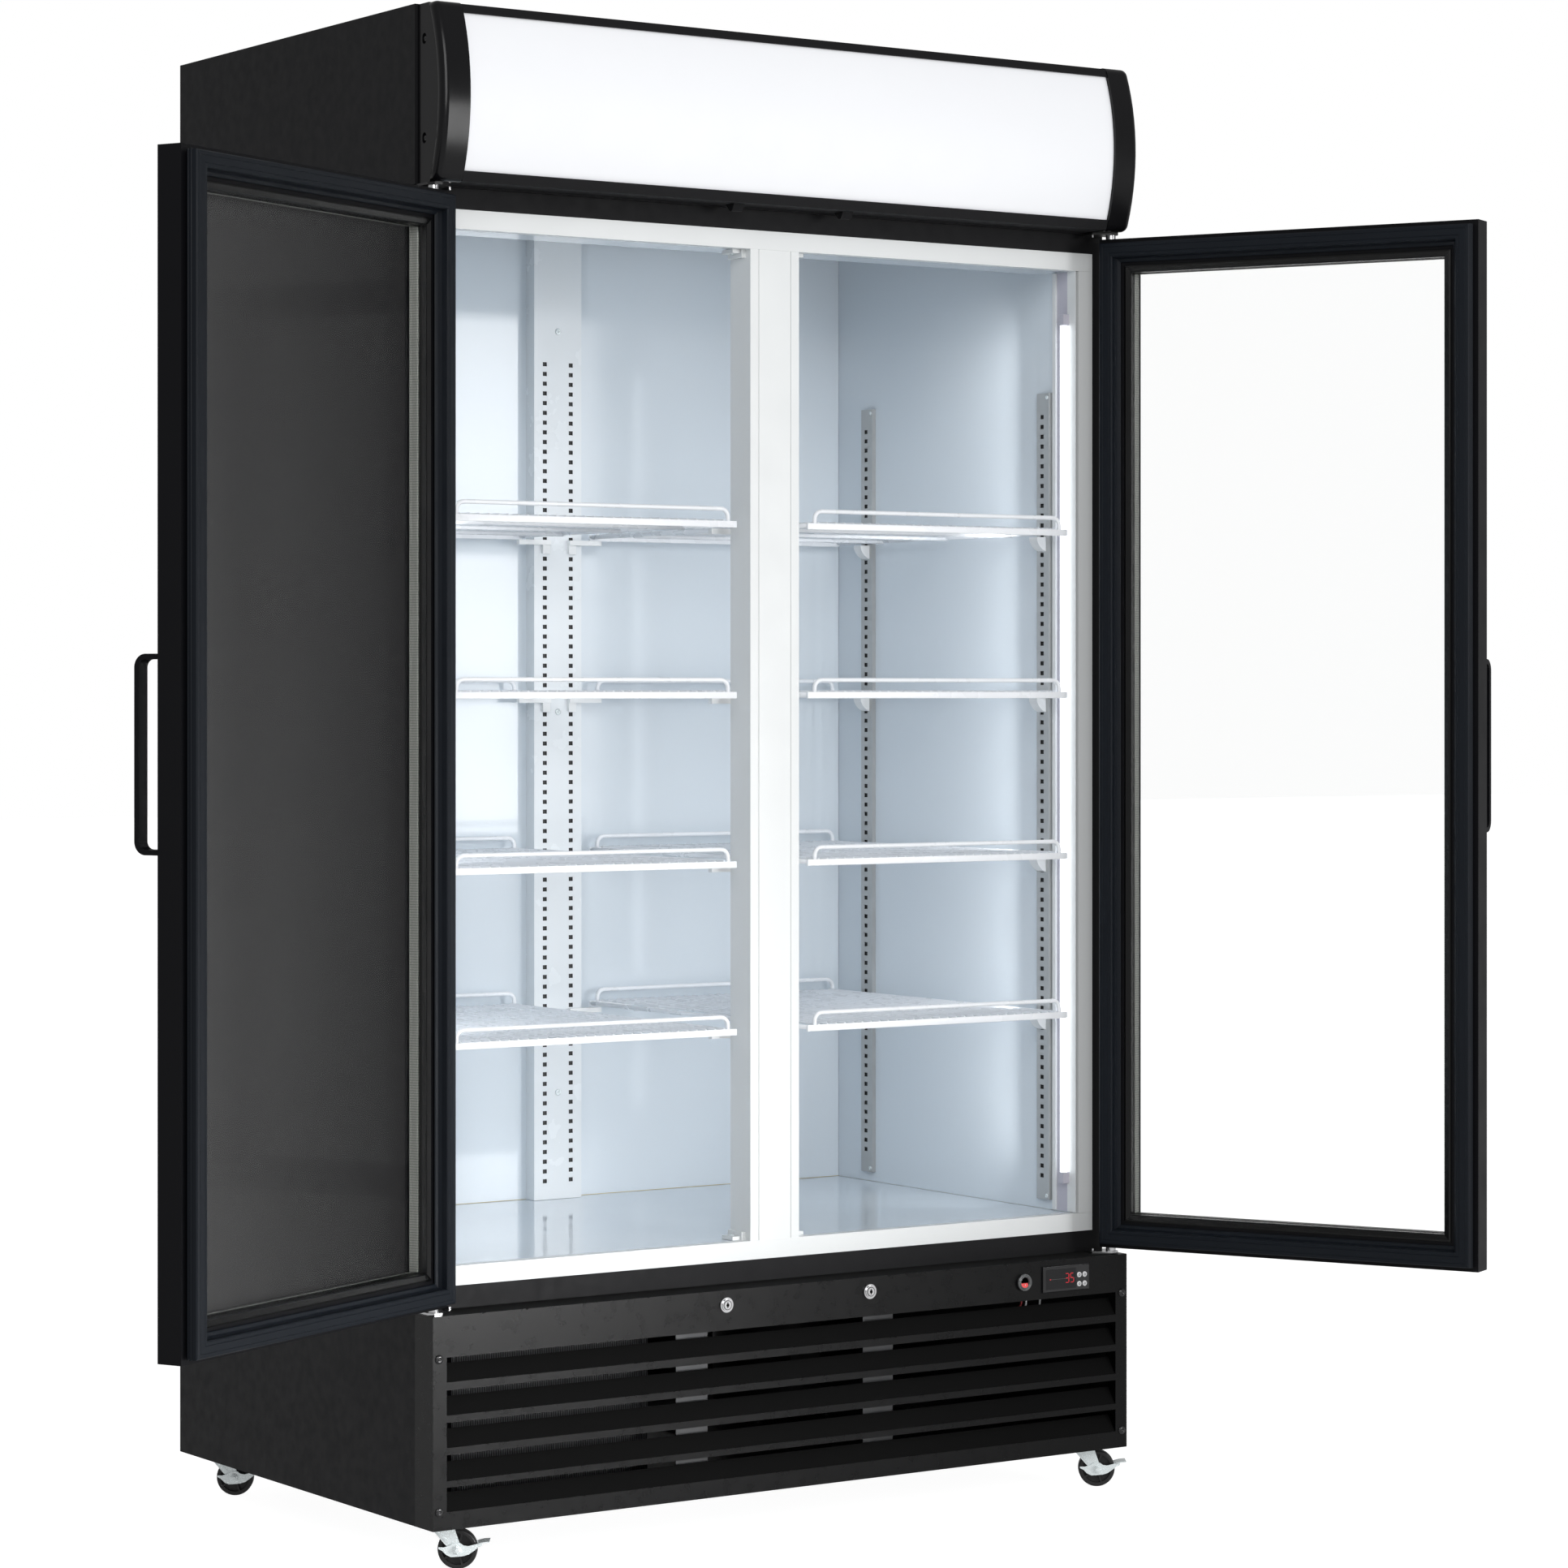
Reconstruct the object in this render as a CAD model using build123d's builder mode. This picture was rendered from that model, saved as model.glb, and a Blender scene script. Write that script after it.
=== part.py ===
"""Two-door upright glass door merchandiser on swivel casters.

Millimetres, +Z up, +X to the right seen from the front, +Y to the back.
The origin is on the floor under the centre of the cabinet's footprint.
The doors are modelled where they stand open: left 153.5 degrees, right 117 degrees.
"""
import os
from math import cos, radians, sin, sqrt

from build123d import *

os.makedirs("parts", exist_ok=True)

# ---------------------------------------------------------------- driving dimensions
WIDTH = 1120.0
HEIGHT = 1990.0
DEPTH = 708.0
SKIRT_Z = 56.0  # lower edge of the cabinet
SHEET = 1.0  # steel sheet
HALF = WIDTH / 2
BACK = DEPTH / 2  # rear plane
FRONT = -DEPTH / 2  # front plane of the lower panel and of the closed doors
SIDE_FRONT = -308.0  # front edge of the side panels beside the lower panel and the canopy
FRAME_FRONT = -299.0  # plane that the door gaskets close on
FRAME_BACK = -283.0
LOWER_TOP = 327.0  # top of the lower panel
OPENING_LOW = 356.0  # lower edge of the white face frame
OPENING_HIGH = 1734.0
CANOPY_LOW = 1761.0
CANOPY_HIGH = 1989.0
BASE_TOP = 66.0
BASE_SHEET = 2.0

WALL = 46.0  # insulated side walls
ROOM_X = HALF - WALL  # inner face of the liner's side walls
ROOM_BACK = 283.0
ROOM_FLOOR = 381.0
ROOM_CEILING = 1932.0
HEADER_LOW = 1710.0
HEADER_BACK = -218.0
FRAME_OUTER_X = 542.0
FRAME_INNER_X = 518.0
FRAME_INNER_LOW = 381.0
FRAME_INNER_HIGH = 1709.0

DOOR_LOW = 336.0
DOOR_HIGH = 1751.0
DOOR_THICK = 34.0
DOOR_REACH = 546.4  # hinge axis to free edge
DOOR_HEEL = 10.7  # hinge axis to hinge edge
PIVOT_X = 547.6
PIVOT_Y = -333.8
PIVOT_TO_INNER = 14.3  # hinge axis to the inner face
DOOR_BORDER = 48.0
GASKET_INSET = 6.0
GASKET_WIDE = 28.0
GASKET_BASE = 9.5  # bellows, the magnet strip standing on them
GASKET_THICK = 18.5
MAGNET_INSET = 20.0
MAGNET_WIDE = 7.0
GLASS_DEEP = 8.7  # glass below the inner face
GLASS_THICK = 22.0  # two panes and the gap between them
GLASS_LAP = 8.0  # glass held in the frame's groove
LEFT_OPEN = 153.5
RIGHT_OPEN = 117.0
PIN_R = 4.0
BORE_R = 4.05

CASTER_X = 518.0
CASTER_FRONT_Y = -316.0
CASTER_REAR_Y = 298.0
WHEEL_R = 25.4
WHEEL_WIDE = 17.0
CASTER_TRAIL = 14.0
CASTER_TURN = -33.9  # way the casters trail, degrees from +X

SLIVER = 0.4  # open joint between neighbouring loose panels


def block(x0, x1, y0, y1, z0, z1, mode=Mode.ADD):
    """Box given by its limits on each axis."""
    with Locations(((x0 + x1) / 2, (y0 + y1) / 2, (z0 + z1) / 2)):
        Box(abs(x1 - x0), abs(y1 - y0), abs(z1 - z0), mode=mode)


# ---------------------------------------------------------------- outer shell
for side, hand in (("left", -1), ("right", 1)):
    with BuildPart() as side_panel:
        with BuildSketch(Plane.YZ.offset(hand * (HALF - SHEET / 2) - SHEET / 2)):
            with BuildLine():
                Polyline(
                    (SIDE_FRONT, SKIRT_Z),
                    (BACK, SKIRT_Z),
                    (BACK, HEIGHT - SHEET),
                    (BACK, HEIGHT),
                    (SIDE_FRONT, HEIGHT),
                    (SIDE_FRONT, CANOPY_LOW),
                    (FRAME_FRONT, CANOPY_LOW),
                    (FRAME_FRONT, LOWER_TOP),
                    (SIDE_FRONT, LOWER_TOP),
                    close=True,
                )
            make_face()
        extrude(amount=SHEET)
        rear_flange = 18.0
        block(hand * (HALF - rear_flange - SHEET), hand * HALF, BACK - SHEET, BACK, SKIRT_Z, HEIGHT - SHEET)
        block(hand * FRAME_OUTER_X, hand * HALF, FRAME_FRONT, FRAME_FRONT + SHEET, LOWER_TOP, CANOPY_LOW)
    side_panel.part.label = f"side_panel_{side}"
    export_step(side_panel.part, f"parts/side_panel_{side}.step")

GLAND_X = -440.0
GLAND_Z = 118.0
GLAND_R = 11.0
CORD_R = 4.2
BACK_PANEL_X = HALF - 19.0
VENT_PITCH_X = 84.0
VENT_PITCH_Z = 16.0

with BuildPart() as back_panel:
    block(-BACK_PANEL_X, BACK_PANEL_X, BACK - SHEET, BACK, SKIRT_Z, HEIGHT - SHEET)
    with BuildSketch(Plane.XZ.offset(-BACK)) as vents:
        with Locations((0, 210)):
            with GridLocations(VENT_PITCH_X, VENT_PITCH_Z, 10, 10):
                SlotOverall(62, 6)
        with Locations((GLAND_X, GLAND_Z)):
            Circle(GLAND_R + 0.1)
    extrude(amount=SHEET * 2, both=True, mode=Mode.SUBTRACT)
back_panel.part.label = "back_panel"
export_step(back_panel.part, "parts/back_panel.step")

with BuildPart() as top_panel:
    block(-HALF + SHEET, HALF - SHEET, SIDE_FRONT, BACK, HEIGHT - SHEET, HEIGHT)
top_panel.part.label = "top_panel"
export_step(top_panel.part, "parts/top_panel.step")

GLAND_FLANGE_R = 15.0
GLAND_LONG = 12.0
with BuildPart() as cord_gland:
    with BuildSketch(Plane.XZ.offset(-BACK + GLAND_LONG)):
        with Locations((GLAND_X, GLAND_Z)):
            Circle(GLAND_R)
            Circle(CORD_R, mode=Mode.SUBTRACT)
    extrude(amount=-GLAND_LONG)
    with BuildSketch(Plane.XZ.offset(-BACK + SHEET + 2)):
        with Locations((GLAND_X, GLAND_Z)):
            Circle(GLAND_FLANGE_R)
            Circle(GLAND_R, mode=Mode.SUBTRACT)
    extrude(amount=-2)
cord_gland.part.label = "cord_gland"
export_step(cord_gland.part, "parts/cord_gland.step")

# ---------------------------------------------------------------- base and machine room
STRAP_Y = -325.0
STRAP_WIDE = 50.0
STRAP_X = 151.0
MACHINE_CEILING = 331.0

with BuildPart() as base_frame:
    block(-HALF + SHEET, HALF - SHEET, FRONT + SHEET, BACK - SHEET, BASE_TOP - BASE_SHEET, BASE_TOP)
    for hand in (-1, 1):
        block(hand * STRAP_X - STRAP_WIDE / 2, hand * STRAP_X + STRAP_WIDE / 2, STRAP_Y, STRAP_Y + 1.5,
              BASE_TOP, LOWER_TOP - SHEET)
        block(hand * 490, hand * 556, -290, 340, BASE_TOP, BASE_TOP + 22)
        block(hand * 492, hand * 554, -292, 342, BASE_TOP + 1.5, BASE_TOP + 20.5, mode=Mode.SUBTRACT)
    block(-HALF + SHEET, HALF - SHEET, FRAME_BACK, BACK - SHEET, MACHINE_CEILING - SHEET, MACHINE_CEILING)
base_frame.part.label = "base_frame"
export_step(base_frame.part, "parts/base_frame.step")

CORE_X0 = -480.0
CORE_X1 = -180.0
CORE_Y0 = -262.0
CORE_Y1 = -218.0
CORE_LOW = BASE_TOP
CORE_HIGH = 306.0
COND_FAN = (-330.0, 186.0)
COND_FAN_Y = -172.0
COND_FAN_R = 92.0
SHAFT_R = 3.0

CORE_RIM = 7.0
FIN_RECESS = 2.0
SHROUD_Y = -196.0
SHROUD_SHEET = 1.5
MOTOR_R = 26.0
MOTOR_LONG = 46.0
MOTOR_Y = -140.0
MOTOR_STRAP_WIDE = 40.0

with BuildPart() as condenser:
    block(CORE_X0, CORE_X1, CORE_Y0, CORE_Y1, CORE_LOW, CORE_HIGH)
    block(CORE_X0 + CORE_RIM, CORE_X1 - CORE_RIM, CORE_Y0 - 1, CORE_Y0 + FIN_RECESS,
          CORE_LOW + CORE_RIM, CORE_HIGH - CORE_RIM, mode=Mode.SUBTRACT)
    with BuildSketch(Plane.XZ.offset(-SHROUD_Y)):
        with Locations(((CORE_X0 + CORE_X1) / 2, (CORE_LOW + CORE_HIGH) / 2)):
            Rectangle(CORE_X1 - CORE_X0, CORE_HIGH - CORE_LOW)
        with Locations(COND_FAN):
            Circle(COND_FAN_R + 6, mode=Mode.SUBTRACT)
    extrude(amount=SHROUD_SHEET)
    for edge_x in (CORE_X0, CORE_X1 - SHROUD_SHEET):
        block(edge_x, edge_x + SHROUD_SHEET, CORE_Y1, SHROUD_Y, CORE_LOW, CORE_HIGH)
    block(CORE_X0, CORE_X1, CORE_Y1, SHROUD_Y, CORE_HIGH - SHROUD_SHEET, CORE_HIGH)
    with BuildSketch(Plane.XZ.offset(-MOTOR_Y)):
        with Locations(COND_FAN):
            Circle(MOTOR_R)
    extrude(amount=-MOTOR_LONG)
    with BuildSketch(Plane.XZ.offset(-MOTOR_Y)):
        with Locations(COND_FAN):
            Circle(SHAFT_R)
    extrude(amount=MOTOR_Y - COND_FAN_Y + 8)
    block(COND_FAN[0] - MOTOR_STRAP_WIDE / 2, COND_FAN[0] + MOTOR_STRAP_WIDE / 2,
          MOTOR_Y + 20, MOTOR_Y + 23, CORE_LOW, COND_FAN[1])
condenser.part.label = "condenser"
export_step(condenser.part, "parts/condenser.step")

fan_face = Plane(origin=(COND_FAN[0], COND_FAN_Y, COND_FAN[1]), x_dir=(1, 0, 0), z_dir=(0, 1, 0))
with BuildPart(fan_face) as condenser_fan:
    Cylinder(20, 16)
    with PolarLocations(0, 5):
        with Locations(Location((COND_FAN_R / 2 + 6, 0, 0), (28, 0, 0))):
            Box(COND_FAN_R - 14, 44, 2)
    Cylinder(SHAFT_R + 0.05, 40, mode=Mode.SUBTRACT)
condenser_fan.part.label = "condenser_fan"
export_step(condenser_fan.part, "parts/condenser_fan.step")

SHELL_X = 250.0
SHELL_Y = 90.0
SHELL_R = 78.0
SHELL_LOW = 84.0
SHELL_HIGH = 254.0
SHELL_DOME = 50.0
SHELL_HEEL = 18.0
TRAY = 4.0
FOOT_PITCH = 120.0
with BuildPart() as compressor:
    block(SHELL_X - 190, SHELL_X + 190, SHELL_Y - 130, SHELL_Y + 130, BASE_TOP, BASE_TOP + TRAY)
    with BuildSketch(Plane.XZ.offset(-SHELL_Y)):
        with BuildLine():
            shell_edge = SHELL_X + SHELL_R
            Line((SHELL_X, SHELL_LOW), (shell_edge - SHELL_HEEL, SHELL_LOW))
            RadiusArc((shell_edge - SHELL_HEEL, SHELL_LOW), (shell_edge, SHELL_LOW + SHELL_HEEL), -SHELL_HEEL)
            Line((shell_edge, SHELL_LOW + SHELL_HEEL), (shell_edge, SHELL_HIGH - SHELL_DOME))
            RadiusArc((shell_edge, SHELL_HIGH - SHELL_DOME), (shell_edge - SHELL_DOME, SHELL_HIGH), -SHELL_DOME)
            Line((shell_edge - SHELL_DOME, SHELL_HIGH), (SHELL_X, SHELL_HIGH))
            Line((SHELL_X, SHELL_HIGH), (SHELL_X, SHELL_LOW))
        make_face()
    revolve(axis=Axis((SHELL_X, SHELL_Y, 0), (0, 0, 1)))
    with Locations((SHELL_X, SHELL_Y, BASE_TOP + TRAY)):
        with GridLocations(FOOT_PITCH, FOOT_PITCH, 2, 2):
            Cylinder(9, 12, align=(Align.CENTER, Align.CENTER, Align.MIN))
    saddle = FOOT_PITCH / 2 + 12
    block(SHELL_X - saddle, SHELL_X + saddle, SHELL_Y - saddle + 2, SHELL_Y + saddle - 2,
          SHELL_LOW - 2, SHELL_LOW + 2)
    block(SHELL_X - 26, SHELL_X + 26, SHELL_Y - SHELL_R - 22, SHELL_Y - SHELL_R + 18, 130, 190)
compressor.part.label = "compressor"
export_step(compressor.part, "parts/compressor.step")

# ---------------------------------------------------------------- insulated box
with BuildPart() as insulation:
    inner = ROOM_X + SHEET
    for hand in (-1, 1):
        block(hand * inner, hand * (HALF - SHEET), FRAME_BACK, BACK - SHEET, MACHINE_CEILING, HEIGHT - SHEET)
    block(-inner, inner, FRAME_BACK, BACK - SHEET, MACHINE_CEILING, ROOM_FLOOR - SHEET)
    block(-inner, inner, ROOM_BACK + SHEET, BACK - SHEET, ROOM_FLOOR - SHEET, HEIGHT - SHEET)
    block(-inner, inner, FRAME_BACK, ROOM_BACK + SHEET, ROOM_CEILING + SHEET, HEIGHT - SHEET)
    block(-ROOM_X, ROOM_X, FRAME_BACK, HEADER_BACK - SHEET, HEADER_LOW + SHEET, ROOM_CEILING)
    block(-HALF + SHEET, HALF - SHEET, SIDE_FRONT + SHEET, FRAME_BACK, CANOPY_LOW + SHEET, HEIGHT - SHEET)
insulation.part.label = "insulation"
export_step(insulation.part, "parts/insulation.step")

with BuildPart() as liner:
    for hand in (-1, 1):
        block(hand * ROOM_X, hand * (ROOM_X + SHEET), FRAME_BACK, ROOM_BACK + SHEET, ROOM_FLOOR, ROOM_CEILING)
    room_edge = ROOM_X - SLIVER
    block(-room_edge, room_edge, ROOM_BACK, ROOM_BACK + SHEET, ROOM_FLOOR + SLIVER, ROOM_CEILING - SLIVER)
    block(-ROOM_X - SHEET, ROOM_X + SHEET, FRAME_BACK, ROOM_BACK + SHEET, ROOM_FLOOR - SHEET, ROOM_FLOOR - SLIVER)
    block(-room_edge, room_edge, HEADER_BACK + SLIVER, ROOM_BACK - SLIVER, ROOM_CEILING, ROOM_CEILING + SHEET)
    block(-room_edge, room_edge, FRAME_BACK, HEADER_BACK - SHEET - SLIVER, HEADER_LOW, HEADER_LOW + SHEET)
    block(-room_edge, room_edge, HEADER_BACK - SHEET, HEADER_BACK, HEADER_LOW, ROOM_CEILING - SLIVER)
liner.part.label = "liner"
export_step(liner.part, "parts/liner.step")

with BuildPart() as face_frame:
    for hand in (-1, 1):
        block(hand * FRAME_INNER_X, hand * FRAME_OUTER_X, FRAME_FRONT, FRAME_BACK,
              FRAME_INNER_LOW + SLIVER / 2, FRAME_INNER_HIGH - SLIVER / 2)
    block(-FRAME_OUTER_X, FRAME_OUTER_X, FRAME_FRONT, FRAME_BACK, OPENING_LOW, FRAME_INNER_LOW)
    block(-FRAME_OUTER_X, FRAME_OUTER_X, FRAME_FRONT, FRAME_BACK, FRAME_INNER_HIGH, OPENING_HIGH)
face_frame.part.label = "face_frame"
export_step(face_frame.part, "parts/face_frame.step")

with BuildPart() as front_fascia:
    block(-FRAME_OUTER_X, FRAME_OUTER_X, FRAME_FRONT, FRAME_BACK, OPENING_HIGH, CANOPY_LOW)
    block(-FRAME_OUTER_X, FRAME_OUTER_X, FRAME_FRONT, FRAME_BACK, LOWER_TOP, OPENING_LOW)
front_fascia.part.label = "front_fascia"
export_step(front_fascia.part, "parts/front_fascia.step")

MULLION_X = 39.5
MULLION_FRONT = -298.0
MULLION_BACK = -250.0
with BuildPart() as mullion:
    block(-MULLION_X, MULLION_X, MULLION_FRONT, MULLION_BACK, FRAME_INNER_LOW, FRAME_INNER_HIGH)
    groove_x = 26.0
    for hand in (-1, 1):
        block(hand * groove_x - 0.6, hand * groove_x + 0.6, MULLION_FRONT, MULLION_FRONT + 1.0,
              FRAME_INNER_LOW, FRAME_INNER_HIGH, mode=Mode.SUBTRACT)
        for low, step_up in ((FRAME_INNER_LOW, 1), (FRAME_INNER_HIGH, -1)):
            block(hand * MULLION_X, hand * (MULLION_X + 18), -282, -256, low, low + step_up * 5)
            block(hand * MULLION_X, hand * (MULLION_X + 6), -286, -252, low, low + step_up * 11)
mullion.part.label = "mullion"
export_step(mullion.part, "parts/mullion.step")

# ---------------------------------------------------------------- shelf supports
DUCT_X = 40.0
DUCT_FRONT = 260.0
DUCT_TOP = 1779.0
DUCT_SLOT_X = 22.0
DUCT_SLOT_PITCH = 14.07
DUCT_SLOTS = 85
DUCT_SLOT_LOW = 408.0
with BuildPart() as back_duct:
    block(-DUCT_X, DUCT_X, DUCT_FRONT, ROOM_BACK, ROOM_FLOOR, DUCT_TOP)
    block(-DUCT_X + SHEET, DUCT_X - SHEET, DUCT_FRONT + SHEET, ROOM_BACK + 1,
          ROOM_FLOOR + SHEET, DUCT_TOP + 1, mode=Mode.SUBTRACT)
    slot_middle = DUCT_SLOT_LOW + DUCT_SLOT_PITCH * (DUCT_SLOTS - 1) / 2
    with BuildSketch(Plane.XZ.offset(-DUCT_FRONT)):
        with Locations((0, slot_middle)):
            with GridLocations(2 * DUCT_SLOT_X, DUCT_SLOT_PITCH, 2, DUCT_SLOTS):
                Rectangle(7, 6)
    extrude(amount=-SHEET * 2, mode=Mode.SUBTRACT)
back_duct.part.label = "back_duct"
export_step(back_duct.part, "parts/back_duct.step")

PILASTER_LOW = 395.0
PILASTER_HIGH = 1540.0
PILASTER_WIDE = 28.0
PILASTER_DEEP = 6.5
PILASTER_Y = (201.0, -230.0)
PILASTER_PITCH = 14.0
PILASTER_SLOTS = 78
with BuildPart() as side_pilasters:
    web = ROOM_X - PILASTER_DEEP
    pilaster_middle = (PILASTER_LOW + PILASTER_HIGH) / 2
    for hand in (-1, 1):
        for rail_y in PILASTER_Y:
            edge = PILASTER_WIDE / 2
            block(hand * web, hand * ROOM_X, rail_y - edge, rail_y + edge, PILASTER_LOW, PILASTER_HIGH)
            block(hand * (web + SHEET), hand * ROOM_X, rail_y - edge + SHEET, rail_y + edge - SHEET,
                  PILASTER_LOW, PILASTER_HIGH, mode=Mode.SUBTRACT)
    with BuildSketch(Plane.YZ):
        for rail_y in PILASTER_Y:
            with Locations((rail_y + 2, pilaster_middle)):
                with GridLocations(1, PILASTER_PITCH, 1, PILASTER_SLOTS):
                    Rectangle(8, 6)
    extrude(amount=HALF, both=True, mode=Mode.SUBTRACT)
side_pilasters.part.label = "side_pilasters"
export_step(side_pilasters.part, "parts/side_pilasters.step")

SHELF_Z = (1341.0, 1112.5, 886.0, 662.0)
SHELF_INNER = 57.6
SHELF_OUTER = 502.5
SHELF_FRONT = -293.0
SHELF_BACK = 268.0
BAND_TALL = 11.0
WIRE = 3.0
WIRE_PITCH = 14.5
RAIL = 5.0
RAIL_UP = 17.0
RAIL_INSET = 13.0
SHELF_CROSS_Y = (-170.0, -12.0, 145.0)
for side, hand in (("left", -1), ("right", 1)):
    with BuildPart() as shelf:
        half_band = BAND_TALL / 2
        for edge_y in (SHELF_FRONT, SHELF_BACK - RAIL):
            block(hand * SHELF_INNER, hand * SHELF_OUTER, edge_y, edge_y + RAIL, -half_band, half_band)
        for edge_x in (SHELF_INNER, SHELF_OUTER - RAIL):
            block(hand * edge_x, hand * (edge_x + RAIL), SHELF_FRONT, SHELF_BACK, -half_band, half_band - 1)
        wires = int((SHELF_OUTER - SHELF_INNER) / WIRE_PITCH) - 1
        shelf_middle = hand * (SHELF_INNER + SHELF_OUTER) / 2
        with Locations((shelf_middle, (SHELF_FRONT + SHELF_BACK) / 2, half_band - WIRE / 2)):
            with GridLocations(WIRE_PITCH, 1, wires, 1):
                Box(WIRE, SHELF_BACK - SHELF_FRONT, WIRE)
        for cross_y in SHELF_CROSS_Y:
            block(hand * SHELF_INNER, hand * SHELF_OUTER, cross_y, cross_y + RAIL,
                  -half_band + 2, half_band - WIRE)
        for edge_y in (SHELF_FRONT, SHELF_BACK - RAIL):
            rail_in = SHELF_INNER + RAIL_INSET
            rail_out = SHELF_OUTER - RAIL_INSET
            rail_top = half_band + RAIL_UP
            block(hand * rail_in, hand * rail_out, edge_y, edge_y + RAIL, rail_top - RAIL, rail_top)
            for leg_x in (rail_in, rail_out - RAIL):
                block(hand * leg_x, hand * (leg_x + RAIL), edge_y, edge_y + RAIL, half_band, rail_top)
    with BuildPart() as shelves:
        with Locations(*[(0, 0, height) for height in SHELF_Z]):
            add(shelf.part)
    shelves.part.label = f"shelves_{side}"
    export_step(shelves.part, f"parts/shelves_{side}.step")

CLIP_WIDE = 18.0
CLIP_TALL = 20.0
CLIP_REACH = 16.0
CLIP_NOSE = 4.0
CLIP_SWEEP = 24.0
CLIP_LEDGE = 7.0
CLIP_HOLD = 12.0  # how far a clip reaches under the shelf's edge
with BuildPart() as shelf_clips:
    for height in SHELF_Z:
        under = height - BAND_TALL / 2
        for hand in (-1, 1):
            root = hand * (ROOM_X - PILASTER_DEEP)
            tip = root - hand * CLIP_REACH
            for rail_y in PILASTER_Y:
                with BuildSketch(Plane.XZ.offset(-rail_y + CLIP_WIDE / 2 - 2)):
                    with BuildLine():
                        Line((root, under), (tip, under))
                        Line((tip, under), (tip, under - CLIP_NOSE))
                        RadiusArc((tip, under - CLIP_NOSE), (root, under - CLIP_TALL), -hand * CLIP_SWEEP)
                        Line((root, under - CLIP_TALL), (root, under))
                    make_face()
                extrude(amount=-CLIP_WIDE)
            clip_in = hand * (DUCT_SLOT_X - 6)
            clip_out = hand * (SHELF_INNER + CLIP_HOLD)
            post_in = hand * (MULLION_X - 10)
            ledge = under - CLIP_LEDGE
            block(clip_in, clip_out, DUCT_FRONT - 8, DUCT_FRONT, ledge, under)
            block(clip_in, hand * (DUCT_SLOT_X + 6), DUCT_FRONT - 5, DUCT_FRONT, under - CLIP_TALL, under)
            block(post_in, clip_out, MULLION_BACK, MULLION_BACK + 8, ledge, under)
shelf_clips.part.label = "shelf_clips"
export_step(shelf_clips.part, "parts/shelf_clips.step")

LAMP_X = 507.9
LAMP_R = 5.0
LAMP_Y = -277.6
LAMP_LOW = 438.0
LAMP_HIGH = 1633.0
LAMP_PLATE_BACK = -247.0
with BuildPart() as interior_lamps:
    for hand in (-1, 1):
        lamp_face = hand * (ROOM_X - SHEET)
        block(lamp_face, hand * ROOM_X, FRAME_BACK, LAMP_PLATE_BACK, FRAME_INNER_LOW + 1, HEADER_LOW - 1)
        block(lamp_face, hand * FRAME_INNER_X, FRAME_FRONT + 1, FRAME_BACK,
              FRAME_INNER_LOW + 1, HEADER_LOW - 2)
        block(hand * (LAMP_X - LAMP_R), lamp_face, LAMP_Y - LAMP_R, LAMP_Y + LAMP_R, LAMP_LOW, LAMP_HIGH)
interior_lamps.part.label = "interior_lamps"
export_step(interior_lamps.part, "parts/interior_lamps.step")

# ---------------------------------------------------------------- evaporator
EVAP_LOW = 1780.0
EVAP_X = 400.0
EVAP_FRONT = -205.0
EVAP_BACK = 258.0
EVAP_FAN_X = 190.0
EVAP_FAN_Y = -95.0
EVAP_FAN_R = 68.0
EVAP_SHEET = 1.5
EVAP_CORE_Y = (60.0, 230.0)
EVAP_MOTOR_Z = EVAP_LOW + 40
with BuildPart() as evaporator:
    block(-EVAP_X, EVAP_X, EVAP_FRONT, EVAP_BACK, EVAP_LOW, ROOM_CEILING)
    block(-EVAP_X + EVAP_SHEET, EVAP_X - EVAP_SHEET, EVAP_FRONT + EVAP_SHEET, EVAP_BACK - EVAP_SHEET,
          EVAP_LOW + EVAP_SHEET, ROOM_CEILING + 1, mode=Mode.SUBTRACT)
    with Locations((-EVAP_FAN_X, EVAP_FAN_Y, EVAP_LOW), (EVAP_FAN_X, EVAP_FAN_Y, EVAP_LOW)):
        Cylinder(EVAP_FAN_R + 5, 10, mode=Mode.SUBTRACT)
    block(-EVAP_X + 20, EVAP_X - 20, *EVAP_CORE_Y, EVAP_LOW + EVAP_SHEET, ROOM_CEILING - 20)
    for hand in (-1, 1):
        fan_x = hand * EVAP_FAN_X
        with Locations((fan_x, EVAP_FAN_Y, EVAP_MOTOR_Z)):
            Cylinder(20, 34, align=(Align.CENTER, Align.CENTER, Align.MIN))
        with Locations((fan_x, EVAP_FAN_Y, EVAP_LOW + 12)):
            Cylinder(SHAFT_R, 30, align=(Align.CENTER, Align.CENTER, Align.MIN))
        block(fan_x - 12, fan_x + 12, EVAP_FAN_Y, EVAP_CORE_Y[0] + 2, EVAP_LOW + 60, EVAP_LOW + 64)
evaporator.part.label = "evaporator"
export_step(evaporator.part, "parts/evaporator.step")

for side, hand in (("left", -1), ("right", 1)):
    with BuildPart(Plane.XY.offset(EVAP_LOW + 22)) as evaporator_fan:
        with Locations((hand * EVAP_FAN_X, EVAP_FAN_Y)):
            Cylinder(14, 12)
            with PolarLocations(0, 5):
                with Locations(Location((EVAP_FAN_R / 2 + 4, 0, 0), (26, 0, 0))):
                    Box(EVAP_FAN_R - 10, 30, 1.6)
            Cylinder(SHAFT_R + 0.05, 40, mode=Mode.SUBTRACT)
    evaporator_fan.part.label = f"evaporator_fan_{side}"
    export_step(evaporator_fan.part, f"parts/evaporator_fan_{side}.step")

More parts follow.
